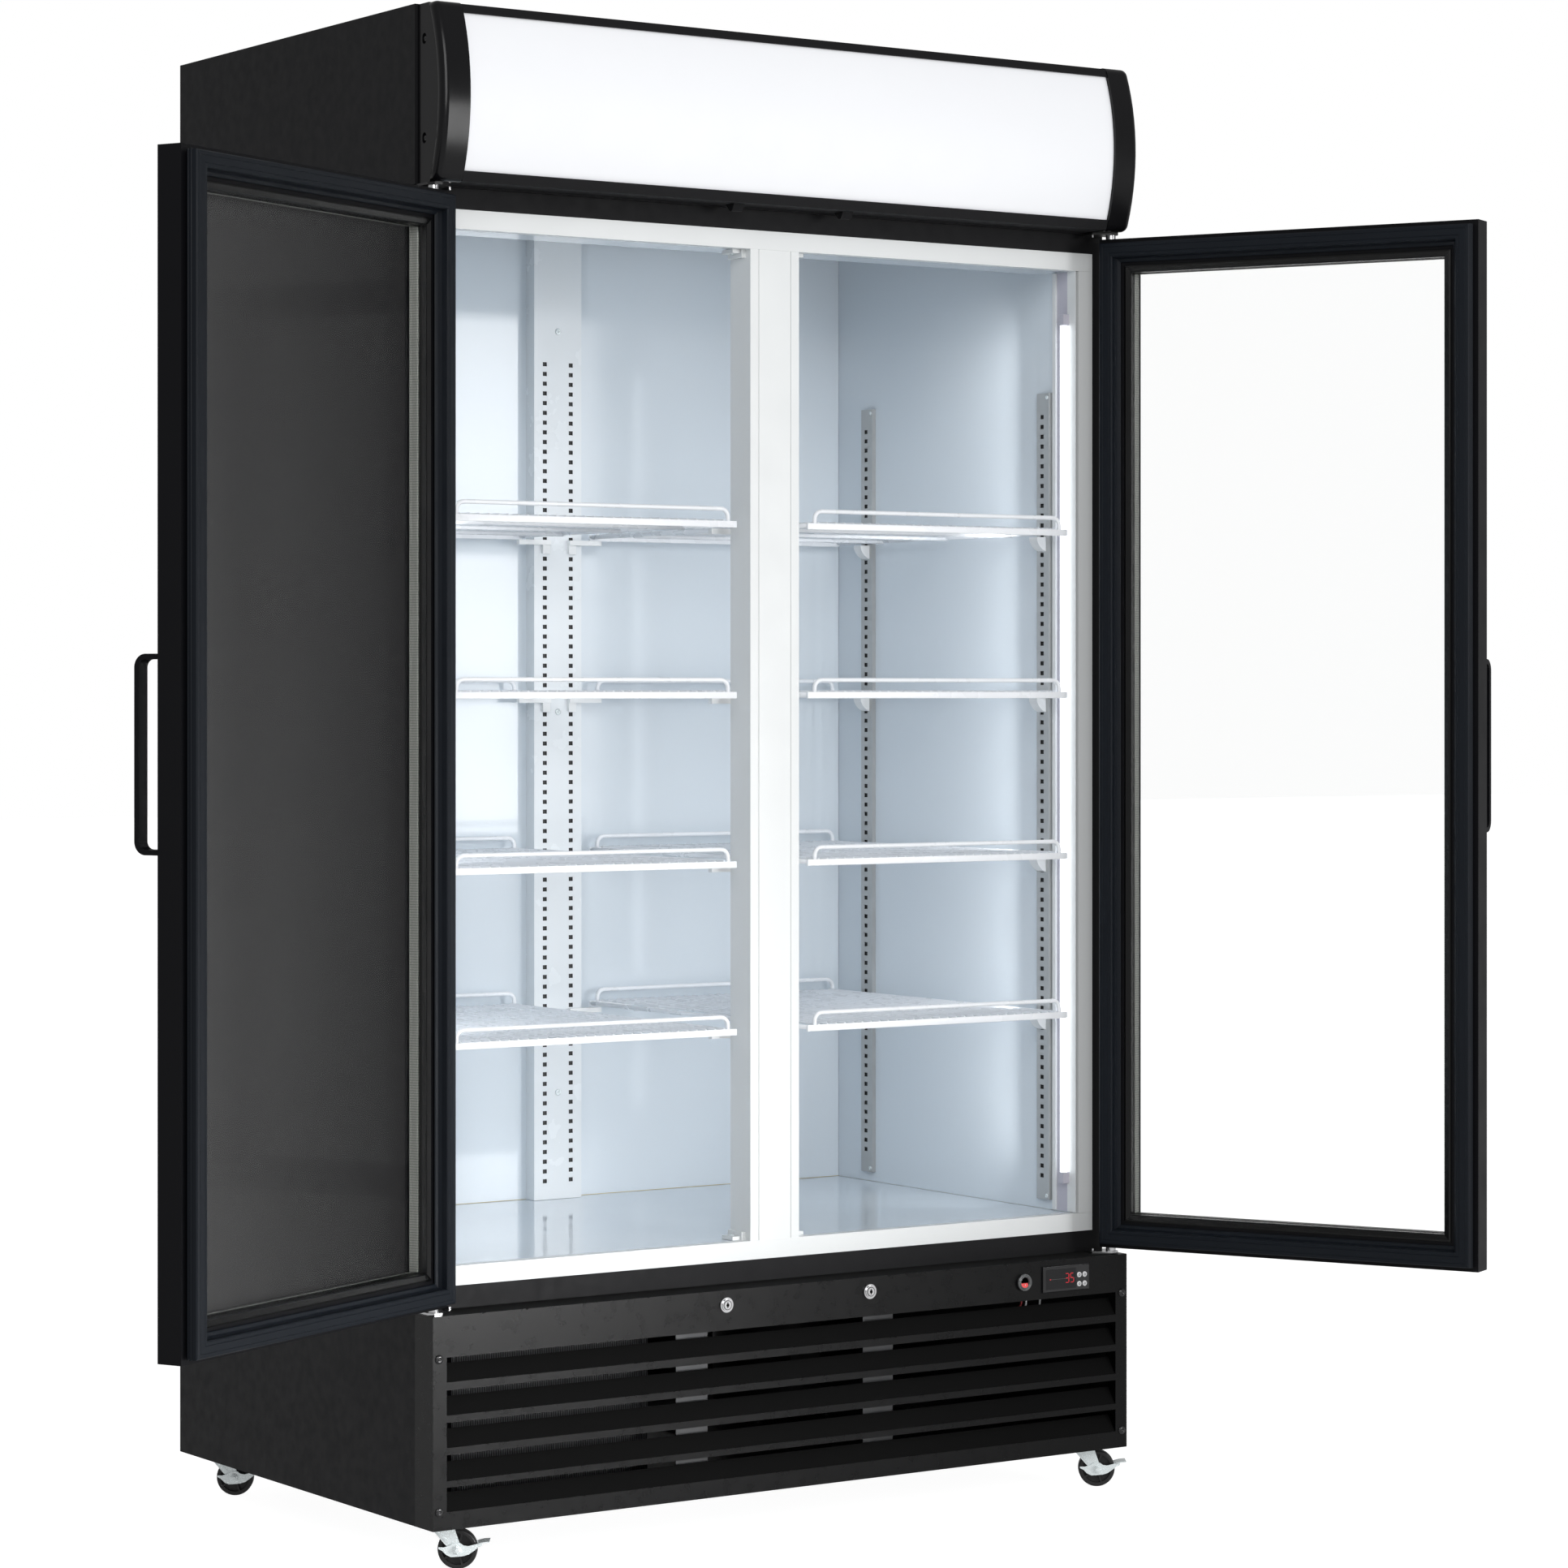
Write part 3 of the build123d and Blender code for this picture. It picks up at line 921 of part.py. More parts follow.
trail_way = (cos(radians(CASTER_TURN)), sin(radians(CASTER_TURN)), 0)
for name, stem_x, stem_y in caster_places:
    swivel = Plane(origin=(stem_x, stem_y, 0), x_dir=trail_way, z_dir=(0, 0, 1))
    axle = Plane(
        origin=swivel.from_local_coords(Vector(CASTER_TRAIL, 0, WHEEL_R)),
        x_dir=swivel.x_dir,
        z_dir=swivel.y_dir * -1,
    )
    with BuildPart() as fork:
        for leg_side in (-1, 1):
            with BuildSketch(axle.offset(leg_side * (LEG_GAP + LEG / 2))):
                with BuildLine():
                    leg_top = FORK_TOP - WHEEL_R - FORK_PLATE
                    leg_back = -CASTER_TRAIL - 19
                    Polyline((9, 0), (8, leg_top), (leg_back, leg_top), (leg_back, leg_top - 5), (-5, -7.5))
                    ThreePointArc((-5, -7.5), (4.5, -7.8), (9, 0))
                make_face()
            extrude(amount=LEG / 2, both=True)
        with BuildSketch(swivel.offset(FORK_TOP - FORK_PLATE)):
            with Locations(((8 - 19) / 2 + CASTER_TRAIL / 2, 0)):
                Rectangle(27 + CASTER_TRAIL, 2 * (LEG_GAP + LEG))
        extrude(amount=FORK_PLATE)
        with BuildSketch(swivel.offset(FORK_TOP - FORK_PLATE)):
            Circle(17)
        extrude(amount=FORK_PLATE)
        with BuildSketch(swivel.offset(FORK_TOP - 20)):
            Circle(PIN_R + 0.05)
        extrude(amount=20, mode=Mode.SUBTRACT)
        with BuildSketch(axle.offset(-LEG_GAP - LEG - 3.2)):
            Circle(PIN_R)
        extrude(amount=2 * (LEG_GAP + LEG + 3.2))
        for head in (-LEG_GAP - LEG - 5.6, LEG_GAP + LEG + 2.2):
            with BuildSketch(axle.offset(head)):
                RegularPolygon(7.2, 6)
            extrude(amount=3.4)
    fork.part.label = f"caster_fork_{name}"
    export_step(fork.part, f"parts/caster_fork_{name}.step")

    with BuildPart() as wheel:
        with BuildSketch(axle.offset(-WHEEL_WIDE / 2)):
            Circle(WHEEL_R)
            Circle(PIN_R + 0.05, mode=Mode.SUBTRACT)
        extrude(amount=WHEEL_WIDE)
        fillet(wheel.edges().filter_by(GeomType.CIRCLE).sort_by(SortBy.RADIUS)[-2:], 2.5)
        for pocket_side in (-1, 1):
            with BuildSketch(axle.offset(pocket_side * (WHEEL_WIDE / 2 - 2.5))):
                Circle(WHEEL_R - 5.5)
                Circle(8.5, mode=Mode.SUBTRACT)
                with PolarLocations(14, 5):
                    Rectangle(13, 2.4, mode=Mode.SUBTRACT)
            extrude(amount=2.5, both=True, mode=Mode.SUBTRACT)
    wheel.part.label = f"caster_wheel_{name}"
    export_step(wheel.part, f"parts/caster_wheel_{name}.step")

    with BuildPart() as brake:
        for lever_side in (-1, 1):
            with BuildSketch(axle.offset(lever_side * (LEG_GAP + LEG + 0.3 + LEVER / 2))):
                with BuildLine():
                    ThreePointArc((-23, 3), (3, -9), (32, 5.5))
                    Polyline((32, 5.5), (32, 9), (10, 6.5), (-8, 5.5), (-23, 3))
                make_face()
                Circle(PIN_R + 0.05, mode=Mode.SUBTRACT)
            extrude(amount=LEVER / 2, both=True)
        pedal_wide = 2 * (LEG_GAP + LEG + 0.3 + LEVER)
        with BuildSketch(axle.offset(-pedal_wide / 2)):
            with BuildLine():
                Polyline((28.5, 6.6), (28.5, 8.8), (41, 10.6), (41, 8.8), close=True)
            make_face()
        extrude(amount=pedal_wide)
    brake.part.label = f"caster_brake_{name}"
    export_step(brake.part, f"parts/caster_brake_{name}.step")
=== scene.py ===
"""Looks of the two-door glass door merchandiser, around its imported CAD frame. Metres."""
import math

import bmesh
import bpy
from mathutils import Matrix, Vector


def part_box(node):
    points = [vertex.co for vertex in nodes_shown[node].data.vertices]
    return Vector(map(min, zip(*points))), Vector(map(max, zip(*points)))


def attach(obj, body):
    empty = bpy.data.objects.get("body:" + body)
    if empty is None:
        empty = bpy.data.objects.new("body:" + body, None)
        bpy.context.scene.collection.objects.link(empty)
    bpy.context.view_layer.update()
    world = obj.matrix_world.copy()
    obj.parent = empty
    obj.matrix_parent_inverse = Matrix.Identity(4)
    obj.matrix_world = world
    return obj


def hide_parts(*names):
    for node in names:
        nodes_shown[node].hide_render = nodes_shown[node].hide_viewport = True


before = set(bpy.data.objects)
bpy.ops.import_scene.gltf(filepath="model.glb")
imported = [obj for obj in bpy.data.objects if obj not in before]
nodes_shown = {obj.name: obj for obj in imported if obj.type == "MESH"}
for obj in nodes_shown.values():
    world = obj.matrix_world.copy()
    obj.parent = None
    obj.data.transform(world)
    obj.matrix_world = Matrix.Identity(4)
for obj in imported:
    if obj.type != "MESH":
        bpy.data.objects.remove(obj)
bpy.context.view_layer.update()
CABINET = "cabinet"
SIDES = (("left", -1), ("right", 1))

# ---------------------------------------------------------------- camera, floor and light
CAMERA_AT = (-3.305, -5.144, 1.116)
CAMERA_TURN = math.radians(-33.95)
CAMERA_LENS = 100.24
CAMERA_SHIFT = (0.0226, -0.0588)
ROOM_GLOW = 0.40
FLOOR_GLOW = 0.44
FLOOR_SEEN = 0.95
LAMP_POWER = 0.88


def make_camera():
    data = bpy.data.cameras.new("camera")
    data.lens = CAMERA_LENS
    data.shift_x, data.shift_y = CAMERA_SHIFT
    data.clip_end = 100
    camera = bpy.data.objects.new("camera", data)
    camera.location = CAMERA_AT
    camera.rotation_euler = (math.radians(90), 0, CAMERA_TURN)
    bpy.context.collection.objects.link(camera)
    bpy.context.scene.camera = camera


def area_light(name, at, target, size, power, size_y=None, spread=math.pi):
    data = bpy.data.lights.new(name, "AREA")
    data.energy = power
    data.size = size
    data.spread = spread
    if size_y:
        data.shape = "RECTANGLE"
        data.size_y = size_y
    light = bpy.data.objects.new(name, data)
    light.location = at
    light.rotation_euler = (Vector(target) - Vector(at)).to_track_quat("-Z", "Y").to_euler()
    bpy.context.collection.objects.link(light)
    return light


def seen_directly(tree):
    """1 for rays from the camera, through glass or not, and 0 for the light that falls on the object."""
    rays = tree.nodes.new("ShaderNodeLightPath")
    seen = add_node(tree, "ShaderNodeMath", operation="MAXIMUM")
    tree.links.new(rays.outputs["Is Camera Ray"], seen.inputs[0])
    tree.links.new(rays.outputs["Is Transmission Ray"], seen.inputs[1])
    return seen.outputs[0]


def make_world():
    """White behind the object; a dimmer room is what lights it and what its surfaces mirror."""
    world = bpy.data.worlds.new("studio")
    world.use_nodes = True
    tree = world.node_tree
    background = tree.nodes["Background"]
    background.inputs["Color"].default_value = (1.0, 1.0, 1.0, 1)
    glow = ranged(tree, seen_directly(tree), ROOM_GLOW, 1.0, 0, 1)
    tree.links.new(glow, background.inputs["Strength"])
    bpy.context.scene.world = world


def make_floor():
    bpy.ops.mesh.primitive_plane_add(size=60, location=(0, 0, 0))
    floor = bpy.context.object
    floor.name = "floor"
    paper = surface("floor", (0.24, 0.24, 0.24), 0.8, grain=40, bump=0.02, tint=0.01)
    tree = paper.node_tree
    shader = tree.nodes["Principled BSDF"]
    shader.inputs["Emission Color"].default_value = (1.0, 1.0, 1.0, 1)
    glow = ranged(tree, seen_directly(tree), FLOOR_GLOW, FLOOR_SEEN, 0, 1)
    tree.links.new(glow, shader.inputs["Emission Strength"])
    floor.data.materials.append(paper)


def make_studio():
    bpy.context.scene.view_settings.view_transform = "Standard"
    make_world()
    make_floor()
    area_light("key", (-2.6, -5.2, 3.4), (0, 0, 1.0), size=3.0, power=148)
    area_light("fill", (2.0, -4.2, 1.4), (-0.3, 0, 0.9), size=1.4, power=50)
    area_light("grille_light", (1.1, -3.4, 0.45), (-0.95, -0.33, 0.12), size=0.5, power=6.0,
               spread=math.radians(45))
    for side, hand in SIDES:
        lamp = area_light(f"lamp_light_{side}", (hand * 0.472, -0.21, 1.04), (hand * 0.36, 0.283, 1.04),
                          size=0.02, power=LAMP_POWER, size_y=1.2, spread=math.radians(120))
        lamp.visible_glossy = False


# ---------------------------------------------------------------- materials
def bare(name):
    material = bpy.data.materials.new(name)
    material.use_nodes = True
    return material, material.node_tree, material.node_tree.nodes["Principled BSDF"]


def add_node(tree, kind, **values):
    node = tree.nodes.new(kind)
    for key, value in values.items():
        if key in node.inputs:
            node.inputs[key].default_value = value
        else:
            setattr(node, key, value)
    return node


def noise(tree, scale, detail=3.0, stretch=None):
    """Noise in the object's own metres; stretch squeezes it along an axis."""
    place = tree.nodes.new("ShaderNodeTexCoord")
    texture = add_node(tree, "ShaderNodeTexNoise", Scale=scale, Detail=detail)
    if stretch:
        mapping = tree.nodes.new("ShaderNodeMapping")
        mapping.inputs["Scale"].default_value = stretch
        tree.links.new(place.outputs["Object"], mapping.inputs["Vector"])
        tree.links.new(mapping.outputs["Vector"], texture.inputs["Vector"])
    else:
        tree.links.new(place.outputs["Object"], texture.inputs["Vector"])
    return texture


def ranged(tree, value, low, high, from_low=0.3, from_high=0.7):
    node = add_node(tree, "ShaderNodeMapRange")
    node.inputs["From Min"].default_value = from_low
    node.inputs["From Max"].default_value = from_high
    node.inputs["To Min"].default_value = low
    node.inputs["To Max"].default_value = high
    tree.links.new(value, node.inputs["Value"])
    return node.outputs["Result"]


def two_colors(tree, factor, first, second):
    mix = tree.nodes.new("ShaderNodeMix")
    mix.data_type = "RGBA"
    mix.inputs[6].default_value = (*first, 1)
    mix.inputs[7].default_value = (*second, 1)
    tree.links.new(factor, mix.inputs[0])
    return mix.outputs[2]


def surface(name, color, roughness, grain=600, bump=0.05, metallic=0.0, tint=0.06, stretch=None,
            specular=0.5, patch=3.0, depth=0.0004):
    """A finished surface: uneven tone and roughness over large patches, and a fine bump."""
    material, tree, shader = bare(name)
    shader.inputs["Metallic"].default_value = metallic
    shader.inputs["Specular IOR Level"].default_value = specular
    patches = noise(tree, patch, 4.0)
    lighter = tuple(min(1.0, c * (1 + tint)) for c in color)
    darker = tuple(c * (1 - tint) for c in color)
    factor = ranged(tree, patches.outputs["Fac"], 0, 1)
    tree.links.new(two_colors(tree, factor, darker, lighter), shader.inputs["Base Color"])
    smudge = noise(tree, patch * 7, 5.0)
    rough = ranged(tree, smudge.outputs["Fac"], roughness * 0.88, min(1.0, roughness * 1.14))
    tree.links.new(rough, shader.inputs["Roughness"])
    fine = noise(tree, grain, 2.0, stretch)
    relief = add_node(tree, "ShaderNodeBump", Strength=bump, Distance=depth)
    tree.links.new(fine.outputs["Fac"], relief.inputs["Height"])
    tree.links.new(relief.outputs["Normal"], shader.inputs["Normal"])
    return material


def glowing(name, color, strength, roughness=0.5):
    """A lit plastic cover, with a slow change of brightness along it; on the switch rocker the glow is
    painted light.
    """
    material = surface(name, color, roughness, grain=300, bump=0.01, tint=0.002)
    tree = material.node_tree
    shader = tree.nodes["Principled BSDF"]
    shader.inputs["Emission Color"].default_value = (*color, 1)
    waver = noise(tree, 2.5, 1.0)
    glow = ranged(tree, waver.outputs["Fac"], strength * 0.97, strength * 1.03)
    tree.links.new(glow, shader.inputs["Emission Strength"])
    return material


def clear_glass(name, color, roughness=0.01):
    """Glass that lets lamps through, with a faint uneven film, and a coat whose reflection grows towards the
    free edge: a painted reflection gradient.
    """
    material, tree, shader = bare(name)
    shader.inputs["Base Color"].default_value = (*color, 1)
    shader.inputs["Transmission Weight"].default_value = 1.0
    shader.inputs["IOR"].default_value = 1.04
    place = tree.nodes.new("ShaderNodeTexCoord")
    split = tree.nodes.new("ShaderNodeSeparateXYZ")
    tree.links.new(place.outputs["Object"], split.inputs["Vector"])
    # the coat's weight rises with distance along X, towards the door's free edge: painted reflection
    outward = add_node(tree, "ShaderNodeMath", operation="ABSOLUTE")
    tree.links.new(split.outputs["X"], outward.inputs[0])
    painted_reflection_weight = ranged(tree, outward.outputs[0], 0.03, 0.34, 0.58, 1.02)
    tree.links.new(painted_reflection_weight, shader.inputs["Coat Weight"])
    shader.inputs["Coat Roughness"].default_value = 0.40
    shader.inputs["Coat IOR"].default_value = 1.3
    film = noise(tree, 9.0, 4.0)
    rough = ranged(tree, film.outputs["Fac"], roughness * 0.5, roughness * 2.0)
    tree.links.new(rough, shader.inputs["Roughness"])
    rays = tree.nodes.new("ShaderNodeLightPath")
    clear = tree.nodes.new("ShaderNodeBsdfTransparent")
    clear.inputs["Color"].default_value = (*color, 1)
    mix = tree.nodes.new("ShaderNodeMixShader")
    tree.links.new(rays.outputs["Is Shadow Ray"], mix.inputs[0])
    tree.links.new(shader.outputs["BSDF"], mix.inputs[1])
    tree.links.new(clear.outputs["BSDF"], mix.inputs[2])
    tree.links.new(mix.outputs["Shader"], tree.nodes["Material Output"].inputs["Surface"])
    return material


def two_finishes(material, axis, edge, color, roughness, metallic=None, across=None):
    """Past an edge on one of the object's own axes, the surface has another colour and roughness.
    across is (axis, half width): the second finish stays between those two sides."""
    tree = material.node_tree
    shader = tree.nodes["Principled BSDF"]
    place = tree.nodes.new("ShaderNodeTexCoord")
    split = tree.nodes.new("ShaderNodeSeparateXYZ")
    tree.links.new(place.outputs["Object"], split.inputs["Vector"])
    past = ranged(tree, split.outputs[axis], 0, 1, edge - 0.0001, edge + 0.0001)
    if across:
        away = add_node(tree, "ShaderNodeMath", operation="ABSOLUTE")
        tree.links.new(split.outputs[across[0]], away.inputs[0])
        inside = ranged(tree, away.outputs[0], 1, 0, across[1] - 0.0001, across[1] + 0.0001)
        both = add_node(tree, "ShaderNodeMath", operation="MULTIPLY")
        tree.links.new(past, both.inputs[0])
        tree.links.new(inside, both.inputs[1])
        past = both.outputs[0]
    mix = tree.nodes.new("ShaderNodeMix")
    mix.data_type = "RGBA"
    tree.links.new(past, mix.inputs[0])
    tree.links.new(shader.inputs["Base Color"].links[0].from_socket, mix.inputs[6])
    mix.inputs[7].default_value = (*color, 1)
    tree.links.new(mix.outputs[2], shader.inputs["Base Color"])
    blend = tree.nodes.new("ShaderNodeMix")
    tree.links.new(past, blend.inputs[0])
    tree.links.new(shader.inputs["Roughness"].links[0].from_socket, blend.inputs[2])
    blend.inputs[3].default_value = roughness
    tree.links.new(blend.outputs[0], shader.inputs["Roughness"])
    if metallic is not None:
        before = shader.inputs["Metallic"].default_value
        tree.links.new(ranged(tree, past, before, metallic, 0, 1), shader.inputs["Metallic"])
    return material


def fin_pack(name):
    """Thin upright aluminium fins, a couple of millimetres apart: light fin edges, with dark bands of painted
    shade in the gaps between them.
    """
    material = surface(name, (0.10, 0.10, 0.105), 0.5, metallic=0.6, tint=0.2)
    tree = material.node_tree
    shader = tree.nodes["Principled BSDF"]
    place = tree.nodes.new("ShaderNodeTexCoord")
    wave = add_node(tree, "ShaderNodeTexWave", Scale=90.0, Distortion=0.4)
    tree.links.new(place.outputs["Object"], wave.inputs["Vector"])
    tree.links.new(two_colors(tree, wave.outputs["Fac"], (0.01, 0.01, 0.012), (0.16, 0.165, 0.17)),
                   shader.inputs["Base Color"])
    relief = add_node(tree, "ShaderNodeBump", Strength=0.8, Distance=0.001)
    tree.links.new(wave.outputs["Fac"], relief.inputs["Height"])
    tree.links.new(relief.outputs["Normal"], shader.inputs["Normal"])
    return material


def perforated(name, color, hole):
    """Aluminium spacer bar with a row of pinholes a few millimetres apart."""
    material = surface(name, color, 0.45, metallic=0.3, tint=0.04)
    tree = material.node_tree
    shader = tree.nodes["Principled BSDF"]
    place = tree.nodes.new("ShaderNodeTexCoord")
    wave = add_node(tree, "ShaderNodeTexWave", Scale=95.0, bands_direction="Z")
    tree.links.new(place.outputs["Object"], wave.inputs["Vector"])
    pinholes = ranged(tree, wave.outputs["Fac"], 0, 1, 0.55, 0.95)
    tree.links.new(two_colors(tree, pinholes, color, hole), shader.inputs["Base Color"])
    return material


PANEL_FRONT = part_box("lower_panel")[0][1]
TOP_HINGE_PLATE = 1.7578  # the hinge brackets are bare steel below this height and painted above it
M = {
    "black_paint": surface("black_paint", (0.0104, 0.0104, 0.0114), 0.50, 900, 0.06, tint=0.015,
                           specular=0.10, patch=9),
    # The louvre blades behind the grille's front face are darkened to near-black and made matte: painted
    # shade in the grille's openings.
    "grille_paint_and_blade_shade": two_finishes(
        surface("grille_paint_and_blade_shade", (0.0030, 0.0030, 0.0032), 0.29, 900, 0.04, tint=0.02, specular=0.16,
                patch=9),
        "Y", PANEL_FRONT + 0.0013, (0.0006, 0.0006, 0.0006), 0.9, across=("X", 0.545)),
    "black_door": surface("black_door", (0.0048, 0.0049, 0.0060), 0.36, 500, 0.05, tint=0.03, specular=0.09,
                          stretch=(1, 1, 0.05)),
    "cap_gloss": surface("cap_gloss", (0.0045, 0.0045, 0.0052), 0.19, 300, 0.02, tint=0.03, specular=0.22),
    "black_gloss": surface("black_gloss", (0.008, 0.008, 0.009), 0.20, 300, 0.04, specular=0.55),
    "black_matte": surface("black_matte", (0.006, 0.006, 0.007), 0.6, 1400, 0.25, specular=0.15),
    "wheel": surface("wheel", (0.010, 0.0095, 0.010), 0.45, 700, 0.2, tint=0.2, patch=30, specular=0.4),
    "gasket": surface("gasket", (0.0054, 0.0074, 0.0108), 0.46, 700, 0.05, tint=0.05, specular=0.14,
                      stretch=(1, 1, 0.05)),
    "bead": surface("bead", (0.0008, 0.0009, 0.0010), 0.22, 700, 0.04, specular=0.30),
    "white_frame": surface("white_frame", (0.725, 0.745, 0.75), 0.33, 500, 0.03, tint=0.008),
    "liner": surface("liner", (0.665, 0.727, 0.782), 0.075, 260, 0.012, tint=0.008, patch=2),
    "duct": surface("duct", (0.72, 0.76, 0.79), 0.25, 260, 0.04, tint=0.01),
    "shelf_wire": surface("shelf_wire", (0.84, 0.865, 0.90), 0.28, 900, 0.05, tint=0.015),
    "clip": surface("clip", (0.78, 0.80, 0.81), 0.4, 600, 0.06, tint=0.02),
    "zinc": surface("zinc", (0.80, 0.86, 0.87), 0.26, 380, 0.015, metallic=0.35, tint=0.02, patch=40),
    "pilaster": surface("pilaster", (0.47, 0.48, 0.48), 0.36, 420, 0.06, metallic=0.55, tint=0.05, patch=12,
                        stretch=(1, 1, 0.04)),
    "galvanised": surface("galvanised", (0.055, 0.056, 0.058), 0.40, 120, 0.08, metallic=0.7, tint=0.15,
                          patch=25),
    "chrome": surface("chrome", (0.62, 0.62, 0.63), 0.14, 300, 0.02, metallic=1.0, tint=0.02),
    "hinge_steel": two_finishes(
        surface("hinge_steel", (0.55, 0.55, 0.56), 0.16, 300, 0.03, metallic=1.0, tint=0.03),
        "Z", TOP_HINGE_PLATE, (0.004, 0.004, 0.0045), 0.4, 0.0),
    "silver": surface("silver", (0.60, 0.60, 0.61), 0.30, 900, 0.05, metallic=0.5, tint=0.03),
    "lamp_plate": surface("lamp_plate", (0.50, 0.49, 0.56), 0.35, 300, 0.04, tint=0.03),
    "sign": glowing("sign", (0.80, 0.81, 0.835), 0.11),
    "lamp": glowing("lamp", (0.93, 0.97, 1.0), 2.2),
    "digit": glowing("digit", (0.50, 0.01, 0.02), 0.16),
    # The switch rocker's glow is painted light: it brightens the red rocker in the shade of its recess.
    "red": glowing("red", (0.60, 0.05, 0.05), 0.30, 0.3),
    "ink_white": surface("ink_white", (0.6, 0.55, 0.55), 0.5, 500, 0.05),
    # dark ink for print and seams, and also the painted shade seen through the pilaster and duct slots
    "dark_ink_and_shade": surface("dark_ink_and_shade", (0.02, 0.02, 0.02), 0.5, 500, 0.05),
    "cable_red": surface("cable_red", (0.25, 0.01, 0.012), 0.45, 900, 0.1),
    "cable_white": surface("cable_white", (0.45, 0.46, 0.47), 0.45, 900, 0.1),
    "pane": clear_glass("pane", (0.985, 0.987, 0.986)),
    "boot": surface("boot", (0.075, 0.078, 0.08), 0.25, 500, 0.1, tint=0.1, patch=60, specular=0.7),
    "display": surface("display", (0.008, 0.008, 0.009), 0.15, 300, 0.01, tint=0.1, patch=60, specular=0.3),
    "spacer": perforated("spacer", (0.125, 0.130, 0.118), (0.062, 0.066, 0.060)),
    "foam": surface("foam", (0.7, 0.6, 0.35), 0.85, 200, 0.5, tint=0.1),
    "fins": fin_pack("fins"),
}

NODE_LOOKS = {
    "black_paint": ("side_panel_left", "side_panel_right", "back_panel", "top_panel", "front_fascia",
                    "canopy_housing", "compressor"),
    "grille_paint_and_blade_shade": ("lower_panel",),
    "black_door": ("door_frame_left", "door_frame_right", "door_handle_left", "door_handle_right"),
    "cap_gloss": ("canopy_caps",),
    "black_gloss": ("controller", "switch_bezel"),
    "black_matte": ("cord_gland", "condenser_fan", "evaporator_fan_left", "evaporator_fan_right"),
    "white_frame": ("face_frame", "mullion"),
    "liner": ("liner", "evaporator"),
    "duct": ("back_duct",),
    "clip": ("shelf_clips",),
    "pilaster": ("side_pilasters",),
    "galvanised": ("base_frame",),
    "zinc": ("caster_plates",),
    "chrome": ("lock_barrels", "lock_plug_left", "lock_plug_right"),
    "hinge_steel": ("hinge_brackets",),
    "sign": ("sign_panel",),
    "fins": ("condenser",),
    "foam": ("insulation",),
    "red": ("switch_rocker",),
}


def dress_nodes():
    looks = dict(NODE_LOOKS)
    for number in range(1, 5):
        looks["silver"] = (*looks.get("silver", ()), f"controller_button_{number}")
    for corner in ("front_left", "front_right", "rear_left", "rear_right"):
        looks["zinc"] = (*looks["zinc"], f"caster_fork_{corner}", f"caster_brake_{corner}")
        looks["wheel"] = (*looks.get("wheel", ()), f"caster_wheel_{corner}")
    for look, names in looks.items():
        for name in names:
            node = nodes_shown[name]
            for slot in node.material_slots:
                slot.material = M[look]


# ---------------------------------------------------------------- mesh building
def finish_piece(bm, name, look, body, smooth=False, replaces=(), level_look=None):
    """Object from a bmesh; its level faces take level_look, where one is given."""
    bmesh.ops.recalc_face_normals(bm, faces=bm.faces)
    if level_look:
        for face in bm.faces:
            face.material_index = int(abs(face.normal.z) > 0.7)
    mesh = bpy.data.meshes.new(name)
    bm.to_mesh(mesh)
    bm.free()
    mesh.materials.append(M[look])
    if level_look:
        mesh.materials.append(M[level_look])
    if smooth:
        mesh.shade_smooth()
    piece = bpy.data.objects.new(name, mesh)
    bpy.context.collection.objects.link(piece)
    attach(piece, body)
    if replaces:
        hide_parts(*replaces)
    return piece


def soft_box(bm, low, high, edge=0.0006):
    """Box between two corners, its edges rounded."""
    made = bmesh.ops.create_cube(bm, size=1.0)
    low, high = Vector(low), Vector(high)
    for vert in made["verts"]:
        vert.co = Vector([low[i] + (vert.co[i] + 0.5) * (high[i] - low[i]) for i in range(3)])
    if edge:
        edges = list({e for v in made["verts"] for e in v.link_edges})
        bmesh.ops.bevel(bm, geom=edges, offset=edge, segments=2, affect="EDGES", profile=0.6)


def round_corners(points, radius, steps=5):
    """A polyline with each inner corner turned into an arc."""
    path = [Vector(points[0])]
    for before, corner, after in zip(points, points[1:], points[2:]):
        corner = Vector(corner)
        inward = (Vector(before) - corner).normalized()
        onward = (Vector(after) - corner).normalized()
        half = inward.angle(onward) / 2
        reach = radius / math.tan(half)
        centre = corner + (inward + onward).normalized() * (radius / math.sin(half))
        start = corner + inward * reach - centre
        turn_axis = inward.cross(onward).normalized()
        for step in range(steps + 1):
            turn = -(math.pi - 2 * half) * step / steps
            path.append(centre + Matrix.Rotation(turn, 3, turn_axis) @ start)
    path.append(Vector(points[-1]))
    return path


def sweep(bm, path, radius, sides=8):
    """Round rod along a path."""
    rings = []
    for index, point in enumerate(path):
        ahead = (path[min(index + 1, len(path) - 1)] - path[max(index - 1, 0)]).normalized()
        if index == 0:
            side = ahead.orthogonal().normalized()
        else:
            side = (side - ahead * side.dot(ahead)).normalized()
        over = ahead.cross(side)
        rings.append([
            bm.verts.new(point + (side * math.cos(turn) + over * math.sin(turn)) * radius)
            for turn in (2 * math.pi * k / sides for k in range(sides))
        ])
    for ring, onward in zip(rings, rings[1:]):
        for k in range(sides):
            bm.faces.new((ring[k], ring[(k + 1) % sides], onward[(k + 1) % sides], onward[k]))
    bm.faces.new(rings[0])
    bm.faces.new(rings[-1])


